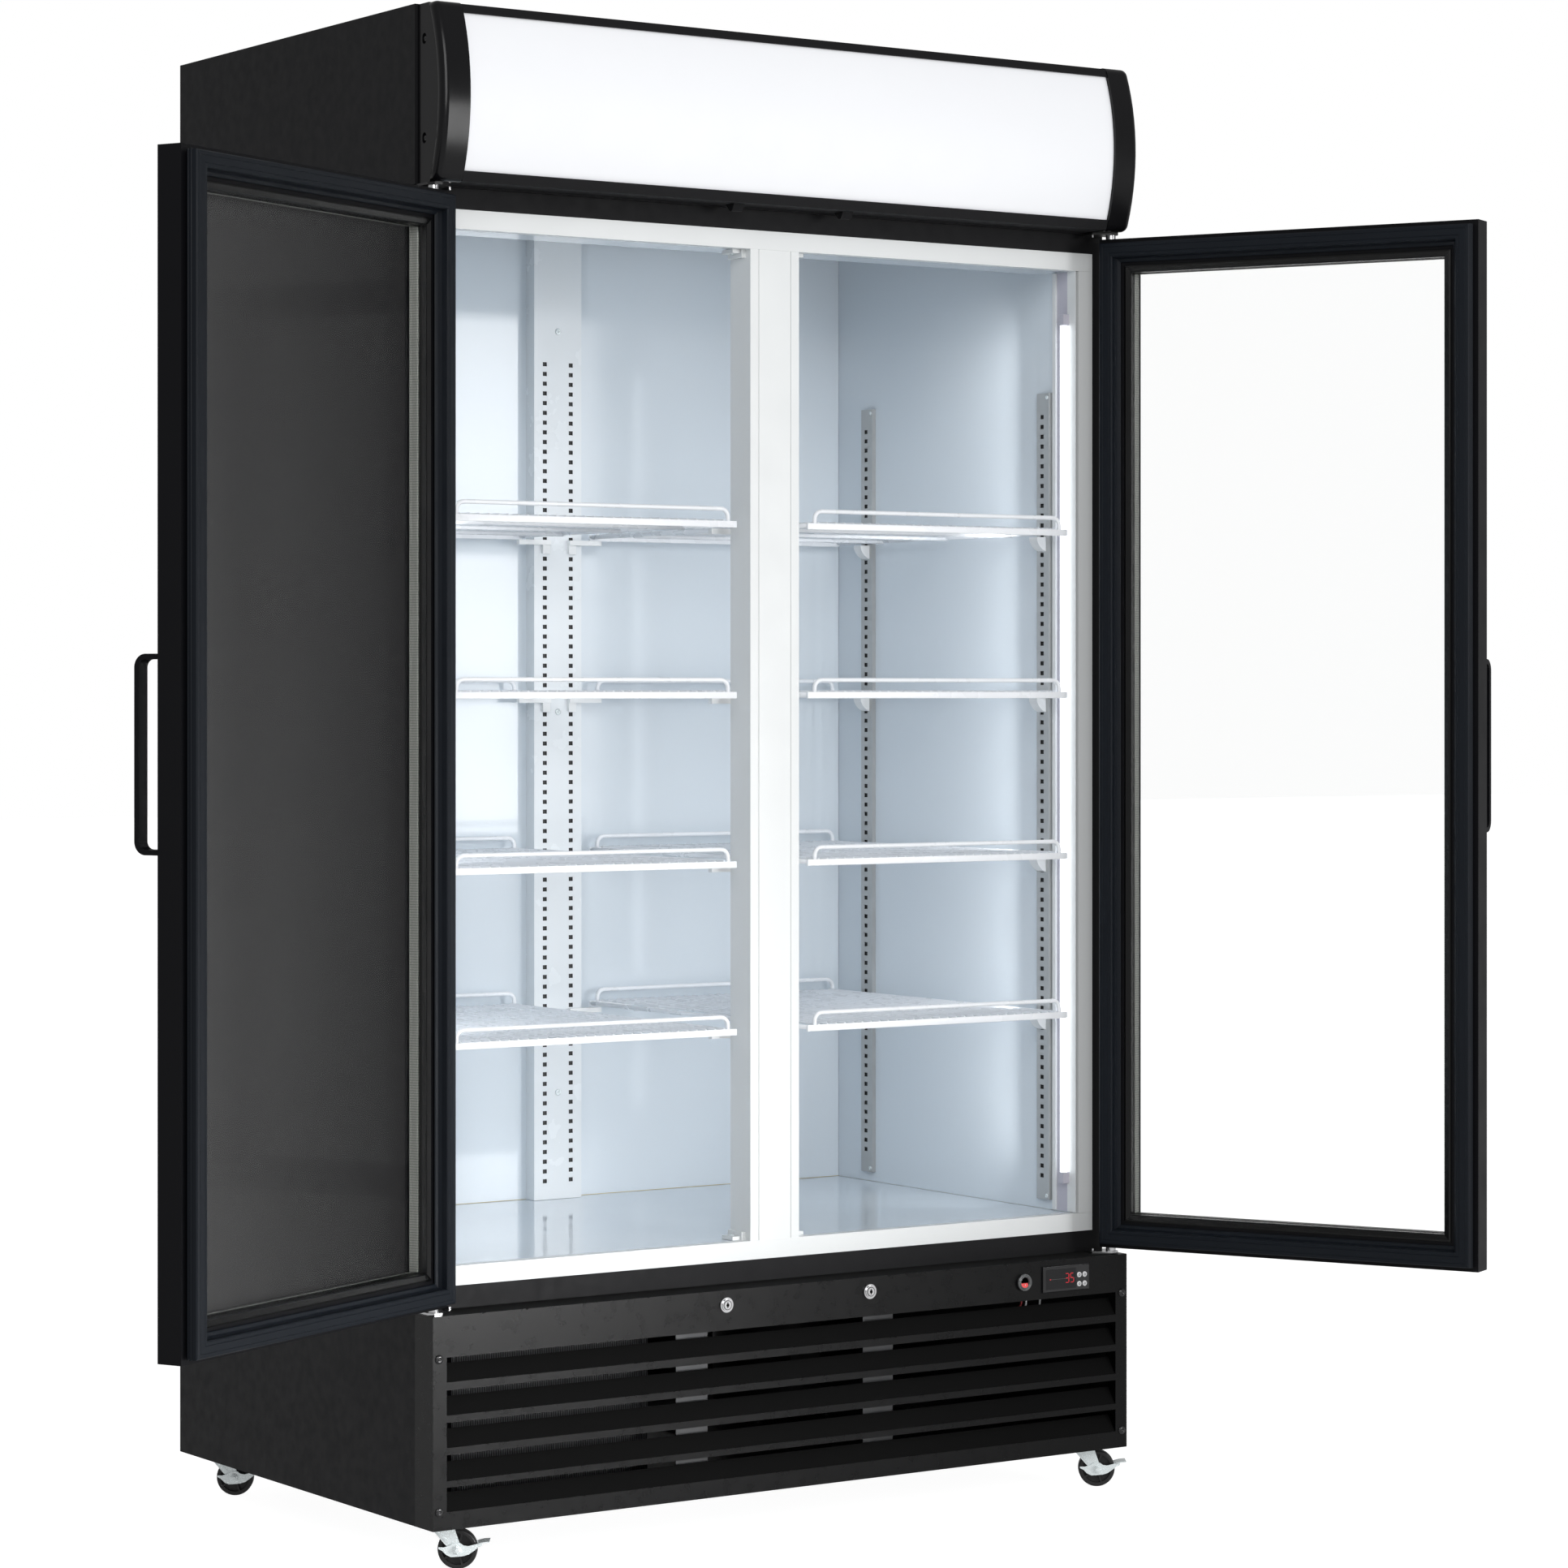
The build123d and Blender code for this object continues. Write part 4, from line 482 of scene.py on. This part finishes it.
def turned(bm, at, axis, profile, sides=32):
    """Solid of revolution: profile is (radius, distance along the axis)."""
    axis = Vector(axis).normalized()
    side = axis.orthogonal().normalized()
    over = axis.cross(side)
    rings = []
    for radius, along in profile:
        centre = Vector(at) + axis * along
        if radius == 0:
            rings.append([bm.verts.new(centre)])
        else:
            rings.append([
                bm.verts.new(centre + (side * math.cos(turn) + over * math.sin(turn)) * radius)
                for turn in (2 * math.pi * k / sides for k in range(sides))
            ])
    for ring, onward in zip(rings, rings[1:]):
        for k in range(sides):
            after = (k + 1) % sides
            if len(ring) == 1:
                bm.faces.new((ring[0], onward[k], onward[after]))
            elif len(onward) == 1:
                bm.faces.new((ring[k], ring[after], onward[0]))
            else:
                bm.faces.new((ring[k], ring[after], onward[after], onward[k]))
    for ring in (rings[0], rings[-1]):
        if len(ring) > 1:
            bm.faces.new(ring)


# ---------------------------------------------------------------- shelves
SHELF_HEIGHTS = (1.341, 1.1125, 0.886, 0.662)
CROSS_RAIL_Y = (-0.1675, -0.0095, 0.1475)
WIRE_R = 0.0016
RAIL_R = 0.003
WIRE_PITCH = 0.0145
BAND_TALL = 0.011
RAIL_UP = 0.017
RAIL_INSET = 0.013


def make_shelf(side, number, height, replaces):
    """Wire shelf: front and back bands, side and cross rails, thin wires, and a raised rim at each end."""
    low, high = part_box(f"shelves_{side}")
    x0, x1, y0, y1 = low[0], high[0], low[1], high[1]
    top = height + BAND_TALL / 2
    bm = bmesh.new()
    for edge_y in (y0, y1 - 0.004):
        soft_box(bm, (x0, edge_y, height - BAND_TALL / 2), (x1, edge_y + 0.004, top - 0.002), 0.0009)
    for edge_x in (x0 + RAIL_R, x1 - RAIL_R):
        sweep(bm, [Vector((edge_x, y0 + 0.002, height)), Vector((edge_x, y1 - 0.002, height))], RAIL_R)
    for cross_y in CROSS_RAIL_Y:
        ends = [Vector((x, cross_y, top - 0.0072)) for x in (x0 + 0.002, x1 - 0.002)]
        sweep(bm, ends, RAIL_R)
    count = int((x1 - x0) / WIRE_PITCH) - 1
    first = (x0 + x1) / 2 - WIRE_PITCH * (count - 1) / 2
    for k in range(count):
        x = first + k * WIRE_PITCH
        route = [(x, y0 + 0.0018, top - 0.007), (x, y0 + 0.0018, top - WIRE_R),
                 (x, y1 - 0.0018, top - WIRE_R), (x, y1 - 0.0018, top - 0.007)]
        sweep(bm, round_corners(route, 0.0022, 3), WIRE_R, 6)
    for edge_y in (y0 + RAIL_R, y1 - RAIL_R):
        a, b, up = x0 + RAIL_INSET, x1 - RAIL_INSET, top + RAIL_UP - RAIL_R
        route = [(a, edge_y, top - 0.006), (a, edge_y, up), (b, edge_y, up), (b, edge_y, top - 0.006)]
        sweep(bm, round_corners(route, 0.011), RAIL_R, 10)
    return finish_piece(bm, f"shelf_{side}_{number}", "shelf_wire", CABINET, True, replaces)


# ---------------------------------------------------------------- interior lamps
TUBE_X, TUBE_R, TUBE_Y, TUBE_LOW, TUBE_HIGH = 0.5077, 0.0052, -0.2776, 0.438, 1.633
WALL_X = 0.5139
PLATE_Y = (-0.279, -0.255)


def wall_strip(bm, hand, thick, y0, y1, z0, z1, edge=0.0):
    """A strip on a side wall of the room, standing off it by thick."""
    x0, x1 = sorted((hand * (WALL_X - thick), hand * WALL_X))
    soft_box(bm, (x0, y0, z0), (x1, y1, z1), edge)


def make_lamps():
    """Each side wall's lamp: its white frame, the plate with the tube's end caps, and the tube."""
    low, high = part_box("interior_lamps")
    for side, hand in SIDES:
        bm = bmesh.new()
        wall_strip(bm, hand, 0.0009, low[1], PLATE_Y[0], low[2], high[2])
        wall_strip(bm, hand, 0.0030, PLATE_Y[1], high[1], low[2], high[2], 0.0006)
        finish_piece(bm, f"lamp_frame_{side}", "white_frame", CABINET,
                     replaces=("interior_lamps",))
        bm = bmesh.new()
        wall_strip(bm, hand, 0.0005, PLATE_Y[0], PLATE_Y[1], low[2], high[2])
        for cap_z in (TUBE_LOW - 0.016, TUBE_HIGH):
            wall_strip(bm, hand, 0.011, TUBE_Y - 0.0055, TUBE_Y + 0.0055, cap_z, cap_z + 0.016, 0.001)
        finish_piece(bm, f"lamp_plate_{side}", "lamp_plate", CABINET)
        bm = bmesh.new()
        tube = [(TUBE_R, 0), (TUBE_R, TUBE_HIGH - TUBE_LOW)]
        turned(bm, (hand * TUBE_X, TUBE_Y, TUBE_LOW), (0, 0, 1), tube, 20)
        finish_piece(bm, f"lamp_tube_{side}", "lamp", CABINET, True)


# ---------------------------------------------------------------- doors
DOOR_LOW, DOOR_HIGH = 0.336, 1.751
DOOR_HEEL, DOOR_REACH = 0.0107, 0.5464
PIVOT_TO_INNER = 0.0143
DOOR_THICK = 0.034
BORDER = 0.048
SEAL_INSET, SEAL_WIDE, SEAL_THICK = 0.006, 0.028, 0.0185
BELLOWS, MAGNET_INSET, MAGNET_WIDE = 0.0095, 0.020, 0.007
GLASS_DEEP, PANE, CAVITY, GLASS_LAP = 0.0087, 0.004, 0.014, 0.008
OPENED = {"left": math.radians(-153.5), "right": math.radians(180 + 117)}
PIVOT = {"left": Vector((-0.5476, -0.3338, 0)), "right": Vector((0.5476, -0.3338, 0))}


def leaf_point(side, x, depth, z):
    """Point on a door: x from its hinge, depth from its inner face into the room, height z."""
    along = Vector((math.cos(OPENED[side]), math.sin(OPENED[side]), 0))
    hand = -1 if side == "left" else 1
    room = Vector((-along.y, along.x, 0)) * -hand
    return PIVOT[side] + along * x + room * (PIVOT_TO_INNER + depth) + Vector((0, 0, z))


def leaf_frame(bm, side, profile):
    """Mitred frame round a door: profile is a closed loop of (inset from the door's outline, depth)."""
    rings = []
    for inset, depth in profile:
        x0, x1 = -DOOR_HEEL + inset, DOOR_REACH - inset
        z0, z1 = DOOR_LOW + inset, DOOR_HIGH - inset
        rings.append([bm.verts.new(leaf_point(side, x, depth, z))
                      for x, z in ((x0, z0), (x1, z0), (x1, z1), (x0, z1))])
    for ring, onward in zip(rings, rings[1:] + rings[:1]):
        for k in range(4):
            after = (k + 1) % 4
            bm.faces.new((ring[k], ring[after], onward[after], onward[k]))


def leaf_slab(bm, side, x0, x1, d0, d1, z0, z1):
    """Flat plate in a door, between two places along it, two depths and two heights."""
    corners = [leaf_point(side, x, d, z) for x in (x0, x1) for d in (d0, d1) for z in (z0, z1)]
    verts = [bm.verts.new(c) for c in corners]
    for face in ((0, 1, 3, 2), (4, 6, 7, 5), (0, 4, 5, 1), (2, 3, 7, 6), (0, 2, 6, 4), (1, 5, 7, 3)):
        bm.faces.new([verts[i] for i in face])


def gasket_profile():
    """Door seal: a dart base, a bellows groove, and a broad soft face with two shallow flutes."""
    a, b = SEAL_INSET, SEAL_INSET + SEAL_WIDE
    inner = MAGNET_INSET + MAGNET_WIDE
    top = SEAL_THICK
    return [
        (a + 0.0050, 0.0), (a + 0.0044, 0.0020), (a + 0.0010, 0.0030), (a + 0.0002, 0.0046),
        (a + 0.0016, 0.0058), (a + 0.0002, 0.0070), (a + 0.0003, BELLOWS), (a + 0.0010, BELLOWS + 0.0010),
        (a + 0.0004, BELLOWS + 0.0022), (a + 0.0008, top - 0.0022), (a + 0.0022, top - 0.0008),
        (a + 0.0060, top - 0.0003), (a + 0.0066, top - 0.0007), (a + 0.0072, top - 0.0002),
        (inner - 0.0060, top), (inner - 0.0054, top - 0.0005), (inner - 0.0048, top),
        (inner - 0.0014, top - 0.0002), (inner, top - 0.0016), (inner + 0.0006, BELLOWS),
        (inner + 0.0024, 0.0050), (b - 0.0010, 0.0038), (b - 0.0002, 0.0026), (b - 0.0014, 0.0010),
        (b - 0.0040, 0.0),
    ]


def make_door_details(side):
    """Gasket, two panes, the spacer between them, and the bead that holds them in the frame."""
    body = f"door_{side}"
    bm = bmesh.new()
    leaf_frame(bm, side, gasket_profile())
    finish_piece(bm, f"gasket_{side}", "gasket", body, replaces=(f"door_gasket_{side}",))
    x0, x1 = -DOOR_HEEL + BORDER - GLASS_LAP, DOOR_REACH - BORDER + GLASS_LAP
    z0, z1 = DOOR_LOW + BORDER - GLASS_LAP, DOOR_HIGH - BORDER + GLASS_LAP
    for index, near in enumerate((GLASS_DEEP, GLASS_DEEP + PANE + CAVITY)):
        bm = bmesh.new()
        leaf_slab(bm, side, x0, x1, -near, -near - PANE, z0, z1)
        finish_piece(bm, f"pane_{side}_{index + 1}", "pane", body,
                     replaces=(f"door_glass_{side}",) if index == 0 else ())
    bm = bmesh.new()
    inner, outer = BORDER + 0.0012, BORDER - GLASS_LAP
    near, far = -GLASS_DEEP - PANE, -GLASS_DEEP - PANE - CAVITY
    rim = 0.0012
    leaf_frame(bm, side, [
        (outer, near), (inner - rim, near), (inner, near - rim), (inner, near - 3 * rim),
        (inner - 0.0006, near - 3.4 * rim), (inner - 0.0006, far + 3.4 * rim), (inner, far + 3 * rim),
        (inner, far + rim), (inner - rim, far), (outer, far),
    ])
    # The spacer's level faces, on its top and bottom bars, take the near-black bead look: painted shade.
    finish_piece(bm, f"glass_spacer_{side}", "spacer", body, level_look="bead")
    bm = bmesh.new()
    lip = BORDER - 0.0100
    leaf_frame(bm, side, [
        (lip, 0.0001), (lip + 0.0006, 0.0016), (lip + 0.0030, 0.0022), (BORDER - 0.0012, 0.0006),
        (BORDER + 0.0002, -0.0006), (BORDER + 0.0008, -0.0060), (BORDER + 0.0020, -GLASS_DEEP + 0.0002),
        (BORDER - 0.0006, -GLASS_DEEP + 0.0002), (BORDER - 0.0006, -0.0010), (BORDER - 0.0020, 0.0001),
    ])
    finish_piece(bm, f"glazing_bead_{side}", "bead", body)


# ---------------------------------------------------------------- screws and controls
GRILLE_SCREW_X, GRILLE_SCREW_Z = 0.551, (0.273, 0.080)
CAP_SCREW_Y, CAP_SCREW_Z = -0.325, (1.944, 1.818)
DUCT_SCREW_Z = (1.638, 1.087, 0.5355)
PILASTER_Y = (0.192, -0.239)
MULLION_SCREW = (0.0500, -0.269)


def make_screws():
    """Domed black screws outside, and pan heads on the duct, the pilasters and the mullion."""
    bm = bmesh.new()
    dome = [(0.006, 0), (0.0058, 0.0009), (0.0050, 0.0018), (0.0034, 0.0023), (0.0018, 0.00235),
            (0.0016, 0.0014), (0, 0.0013)]
    for hand in (-1, 1):
        for height in GRILLE_SCREW_Z:
            turned(bm, (hand * GRILLE_SCREW_X, PANEL_FRONT, height), (0, -1, 0), dome, 28)
    cap_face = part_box("canopy_caps")[1][0] - 0.007
    flat = [(0.0036, 0), (0.0036, 0.0012), (0.0028, 0.0019), (0.0014, 0.0021), (0.0012, 0.0010), (0, 0.0009)]
    for hand in (-1, 1):
        for height in CAP_SCREW_Z:
            turned(bm, (hand * cap_face, CAP_SCREW_Y, height), (hand, 0, 0), flat, 24)
    finish_piece(bm, "black_screws", "black_gloss", CABINET, True, replaces=("fasteners",))
    bm = bmesh.new()
    pan = [(0.0046, 0), (0.0046, 0.0009), (0.0040, 0.0017), (0.0016, 0.00195), (0.0014, 0.0008), (0, 0.0007)]
    duct_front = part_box("back_duct")[0][1]
    for height in DUCT_SCREW_Z:
        turned(bm, (0, duct_front, height), (0, -1, 0), pan, 24)
    low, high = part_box("side_pilasters")
    small = [(r * 0.66, z * 0.6) for r, z in pan]
    for hand, face in ((-1, low[0] + 0.0065), (1, high[0] - 0.0065)):
        for rail_y in PILASTER_Y:
            for height in (low[2] + 0.006, high[2] - 0.006):
                turned(bm, (face, rail_y, height), (-hand, 0, 0), small, 20)
    post_low, post_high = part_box("mullion")
    medium = [(r * 0.7, z * 0.8) for r, z in pan]
    screw_x, screw_y = MULLION_SCREW
    for hand in (-1, 1):
        for height, down in ((post_high[2] - 0.005, -1), (post_low[2] + 0.005, 1)):
            turned(bm, (hand * screw_x, screw_y, height), (0, 0, down), medium, 20)
    finish_piece(bm, "pan_screws", "zinc", CABINET, True)


def ring_of(bm, at, radius, thick, front, sides=20):
    """Flat printed ring on a face that looks to -Y."""
    x, z = at
    inner = radius * 0.62
    section = [(radius, 0), (radius, thick), (inner, thick), (inner, 0)]
    turned(bm, (x, front, z), (0, -1, 0), section, sides)


# each segment of a digit: its column, its row, and whether it lies or stands
SEGMENTS = {"a": (0, 2, "h"), "b": (1, 1, "v"), "c": (1, 0, "v"), "d": (0, 0, "h"), "g": (0, 1, "h"),
            "f": (0, 1, "v")}
DIGITS = {"3": "abcdg", "5": "acdfg"}


def make_display():
    """The controller's window with its line, two digits and a dot, and a ring on each button."""
    low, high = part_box("controller")
    front = low[1]
    middle = (low[2] + high[2]) / 2
    bm = bmesh.new()
    soft_box(bm, (low[0] + 0.004, front - 0.0003, low[2] + 0.004),
             (low[0] + 0.057, front + 0.0008, high[2] - 0.004), 0.0002)
    finish_piece(bm, "display_window", "display", CABINET)
    bm = bmesh.new()
    soft_box(bm, (low[0] + 0.010, front - 0.0004, middle - 0.0005),
             (low[0] + 0.056, front - 0.0002, middle + 0.0004), 0)
    finish_piece(bm, "display_line", "dark_ink_and_shade", CABINET)
    bm = bmesh.new()
    tall, wide, thick = 0.0062, 0.0052, 0.0011
    lit = front - 0.0007
    base_z = middle - tall
    for place, digit in enumerate("35"):
        base_x = low[0] + 0.038 + place * 0.0085
        for name in DIGITS[digit]:
            column, row, way = SEGMENTS[name]
            x, z = base_x + column * wide, base_z + row * tall
            if way == "h":
                start, end = (x + 0.0006, lit, z), (x + wide - 0.0002, lit + 0.0004, z + thick)
            else:
                start, end = (x, lit, z + 0.0009), (x + thick, lit + 0.0004, z + tall)
            soft_box(bm, start, end, 0)
    soft_box(bm, (low[0] + 0.0105, lit, middle - 0.0007), (low[0] + 0.0125, lit + 0.0004, middle + 0.0008), 0)
    finish_piece(bm, "display_digits", "digit", CABINET)
    for number in range(1, 5):
        button_low, button_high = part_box(f"controller_button_{number}")
        at = ((button_low[0] + button_high[0]) / 2, (button_low[2] + button_high[2]) / 2)
        bm = bmesh.new()
        ring_of(bm, at, 0.0017, 0.0002, button_low[1] + 0.0001)
        finish_piece(bm, f"button_mark_{number}", "dark_ink_and_shade", f"button_{number}")


def make_switch():
    """The rocker's boot ring, the seams round the lock plugs, and the mark on the rocker."""
    low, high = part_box("switch_bezel")
    x, z, front = (low[0] + high[0]) / 2, (low[2] + high[2]) / 2, low[1]
    bm = bmesh.new()
    ring = [(0.0118, 0.0), (0.0119, 0.0012), (0.0112, 0.0024), (0.0102, 0.0026), (0.0096, 0.0014),
            (0.0090, 0.0014), (0.0086, 0.0028), (0.0078, 0.0030), (0.0072, 0.0018), (0.0071, 0.0)]
    turned(bm, (x, front, z), (0, -1, 0), ring, 40)
    finish_piece(bm, "switch_boot", "boot", CABINET, True)
    bm = bmesh.new()
    for side, _ in SIDES:
        low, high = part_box(f"lock_plug_{side}")
        middle = ((low[0] + high[0]) / 2, (low[2] + high[2]) / 2)
        ring_of(bm, middle, 0.0064, 0.0003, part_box("lock_barrels")[0][1], 28)
    finish_piece(bm, "lock_seams", "dark_ink_and_shade", CABINET)
    rocker_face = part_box("switch_rocker")[0][1]
    bm = bmesh.new()
    soft_box(bm, (x - 0.0004, rocker_face - 0.0001, z - 0.0046),
             (x + 0.0004, rocker_face + 0.0006, z - 0.0024), 0)
    finish_piece(bm, "rocker_mark", "ink_white", "rocker")


# each lead: its name, its look, where it starts beside the controller, and the height it drops to
LEADS = (("lead_red", "cable_red", -0.012, 0.262), ("lead_white", "cable_white", -0.004, 0.259),
         ("lead_white_2", "cable_white", 0.020, 0.256))


def make_wires():
    """Leads that drop from the switch and the controller and run back into the machine room."""
    low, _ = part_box("controller")
    for name, look, beside, drop in LEADS:
        x = low[0] + beside
        bm = bmesh.new()
        route = [(x, -0.327, 0.296), (x - 0.004, -0.327, drop), (x - 0.060, -0.318, drop - 0.014),
                 (x - 0.080, -0.268, drop - 0.012)]
        sweep(bm, round_corners(route, 0.008, 4), 0.0014)
        finish_piece(bm, name, look, CABINET, True)


# ---------------------------------------------------------------- casters
CASTERS = {"front_left": (-0.518, -0.316), "front_right": (0.518, -0.316), "rear_left": (-0.518, 0.298),
           "rear_right": (0.518, 0.298)}
CASTER_TURN = math.radians(-33.9)
TRAIL = 0.014
WHEEL_R = 0.0254
FORK_HIGH = 0.0555
LEG_NEAR, LEG_FAR = 0.0097, 0.0117
LEVER_NEAR, LEVER_FAR = 0.0120, 0.0135
# outlines about the axle, in millimetres along the trail and up
LEG_OUTLINE = ((-4.5, 30.1), (-33, 30.1), (-33, 26.5), (-15.5, 6.5), (-8.5, 0.5), (-7.2, -3.5),
               (-3.6, -6.8), (1.2, -7.6), (5.2, -5.6), (7.3, -1.4), (6.4, 3.4), (3.2, 7.6))
LEG_RIB = ((-27, 24), (-24.5, 26), (-9.5, 9.5), (-12, 7.5))
CROWN = ((-33, 30.1), (-4.5, 30.1), (-4.5, 32.6), (-33, 32.6))
LEVER_OUTLINE = ((-24, 1.4), (-19, -1.2), (-14, -6.2), (-8, -9.0), (0, -8.6), (8, -7.8), (15, -5.6),
                 (21, -1.4), (27, 3.4), (32, 5.4), (32, 8.6), (24, 7.4), (14, 4.8), (8, 5.8), (4, 8.8),
                 (-4, 8.9), (-10, 5.4), (-17, 3.2), (-24, 3.4))
LEVER_TONGUE = ((26, 6.6), (33, 8.6), (41, 9.4), (41, 10.6), (33, 9.9), (26, 8.2))
# axle nut: washer, hexagon and bolt end, each as (radius, distance out), with its number of sides
AXLE_NUT = (
    ([(0.0062, 0.0), (0.0062, 0.0007), (0.0050, 0.0009)], 28),
    ([(0.0052, 0.0008), (0.0052, 0.0030), (0.0044, 0.0034)], 6),
    ([(0.0030, 0.0030), (0.0030, 0.0044), (0.0024, 0.0049), (0, 0.0049)], 24),
)


def caster_point(place, along, out, up):
    """Point by a caster's axle: along its trail, out towards its near side, and up, in metres."""
    x, y = CASTERS[place]
    way = Vector((math.cos(CASTER_TURN), math.sin(CASTER_TURN), 0))
    near = Vector((way.y, -way.x, 0))
    return Vector((x, y, WHEEL_R)) + way * (TRAIL + along) + near * out + Vector((0, 0, up))


def caster_plate(bm, place, outline, out0, out1):
    """Upright plate beside the wheel, its outline in millimetres about the axle."""
    sides = [[bm.verts.new(caster_point(place, u / 1000, out, v / 1000)) for u, v in outline]
             for out in (out0, out1)]
    for k in range(len(outline)):
        after = (k + 1) % len(outline)
        bm.faces.new((sides[0][k], sides[0][after], sides[1][after], sides[1][k]))
    bm.faces.new(sides[0])
    bm.faces.new(sides[1])


def make_casters():
    """Pressed fork with its axle nuts, and the brake lever outside it, on each caster."""
    for place in CASTERS:
        near = caster_point(place, 0, 1, 0) - caster_point(place, 0, 0, 0)
        bm = bmesh.new()
        for hand in (-1, 1):
            caster_plate(bm, place, LEG_OUTLINE, hand * LEG_NEAR, hand * LEG_FAR)
            caster_plate(bm, place, LEG_RIB, hand * LEG_FAR, hand * (LEG_FAR + 0.0009))
            for profile, corners in AXLE_NUT:
                turned(bm, caster_point(place, 0, hand * LEVER_FAR, 0), near * hand, profile, corners)
        x, y = CASTERS[place]
        turned(bm, (x, y, FORK_HIGH), (0, 0, 1), [(0.0180, 0), (0.0190, 0.0008), (0.0190, 0.0025)], 40)
        caster_plate(bm, place, CROWN, -LEG_FAR, LEG_FAR)
        turned(bm, caster_point(place, 0, -LEVER_FAR, 0), near, [(0.0028, 0), (0.0028, 2 * LEVER_FAR)], 20)
        finish_piece(bm, f"caster_yoke_{place}", "zinc", f"swivel_{place}",
                     replaces=(f"caster_fork_{place}",))
        bm = bmesh.new()
        for hand in (-1, 1):
            caster_plate(bm, place, LEVER_OUTLINE, hand * LEVER_NEAR, hand * LEVER_FAR)
        caster_plate(bm, place, LEVER_TONGUE, -LEVER_FAR, LEVER_FAR)
        finish_piece(bm, f"caster_lever_{place}", "zinc", f"brake_{place}",
                     replaces=(f"caster_brake_{place}",))


DUCT_SLOT_X = 0.022
PILASTER_SLOT_Y = (0.203, -0.228)


def make_painted_slot_shadows():
    """Dark strips inside the pilasters and the duct, seen through their slots: painted shade in the slots."""
    low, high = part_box("side_pilasters")
    bm = bmesh.new()
    for _, hand in SIDES:
        for slot_y in PILASTER_SLOT_Y:
            wall_strip(bm, hand, 0.0040, slot_y - 0.0060, slot_y + 0.0060, low[2] + 0.02, high[2] - 0.02,
                       0.0003)
    duct_low, duct_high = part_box("back_duct")
    for hand in (-1, 1):
        slot_x = hand * DUCT_SLOT_X
        soft_box(bm, (slot_x - 0.006, duct_low[1] + 0.0022, duct_low[2] + 0.02),
                 (slot_x + 0.006, duct_low[1] + 0.0060, duct_high[2] - 0.10), 0.0003)
    finish_piece(bm, "painted_slot_shadows", "dark_ink_and_shade", CABINET)


def make_all():
    dress_nodes()
    make_painted_slot_shadows()
    make_casters()
    for side, _ in SIDES:
        for number, height in enumerate(SHELF_HEIGHTS, start=1):
            make_shelf(side, number, height, (f"shelves_{side}",) if number == 1 else ())
        make_door_details(side)
    make_lamps()
    make_screws()
    make_display()
    make_switch()
    make_wires()
    make_studio()
    make_camera()


make_all()
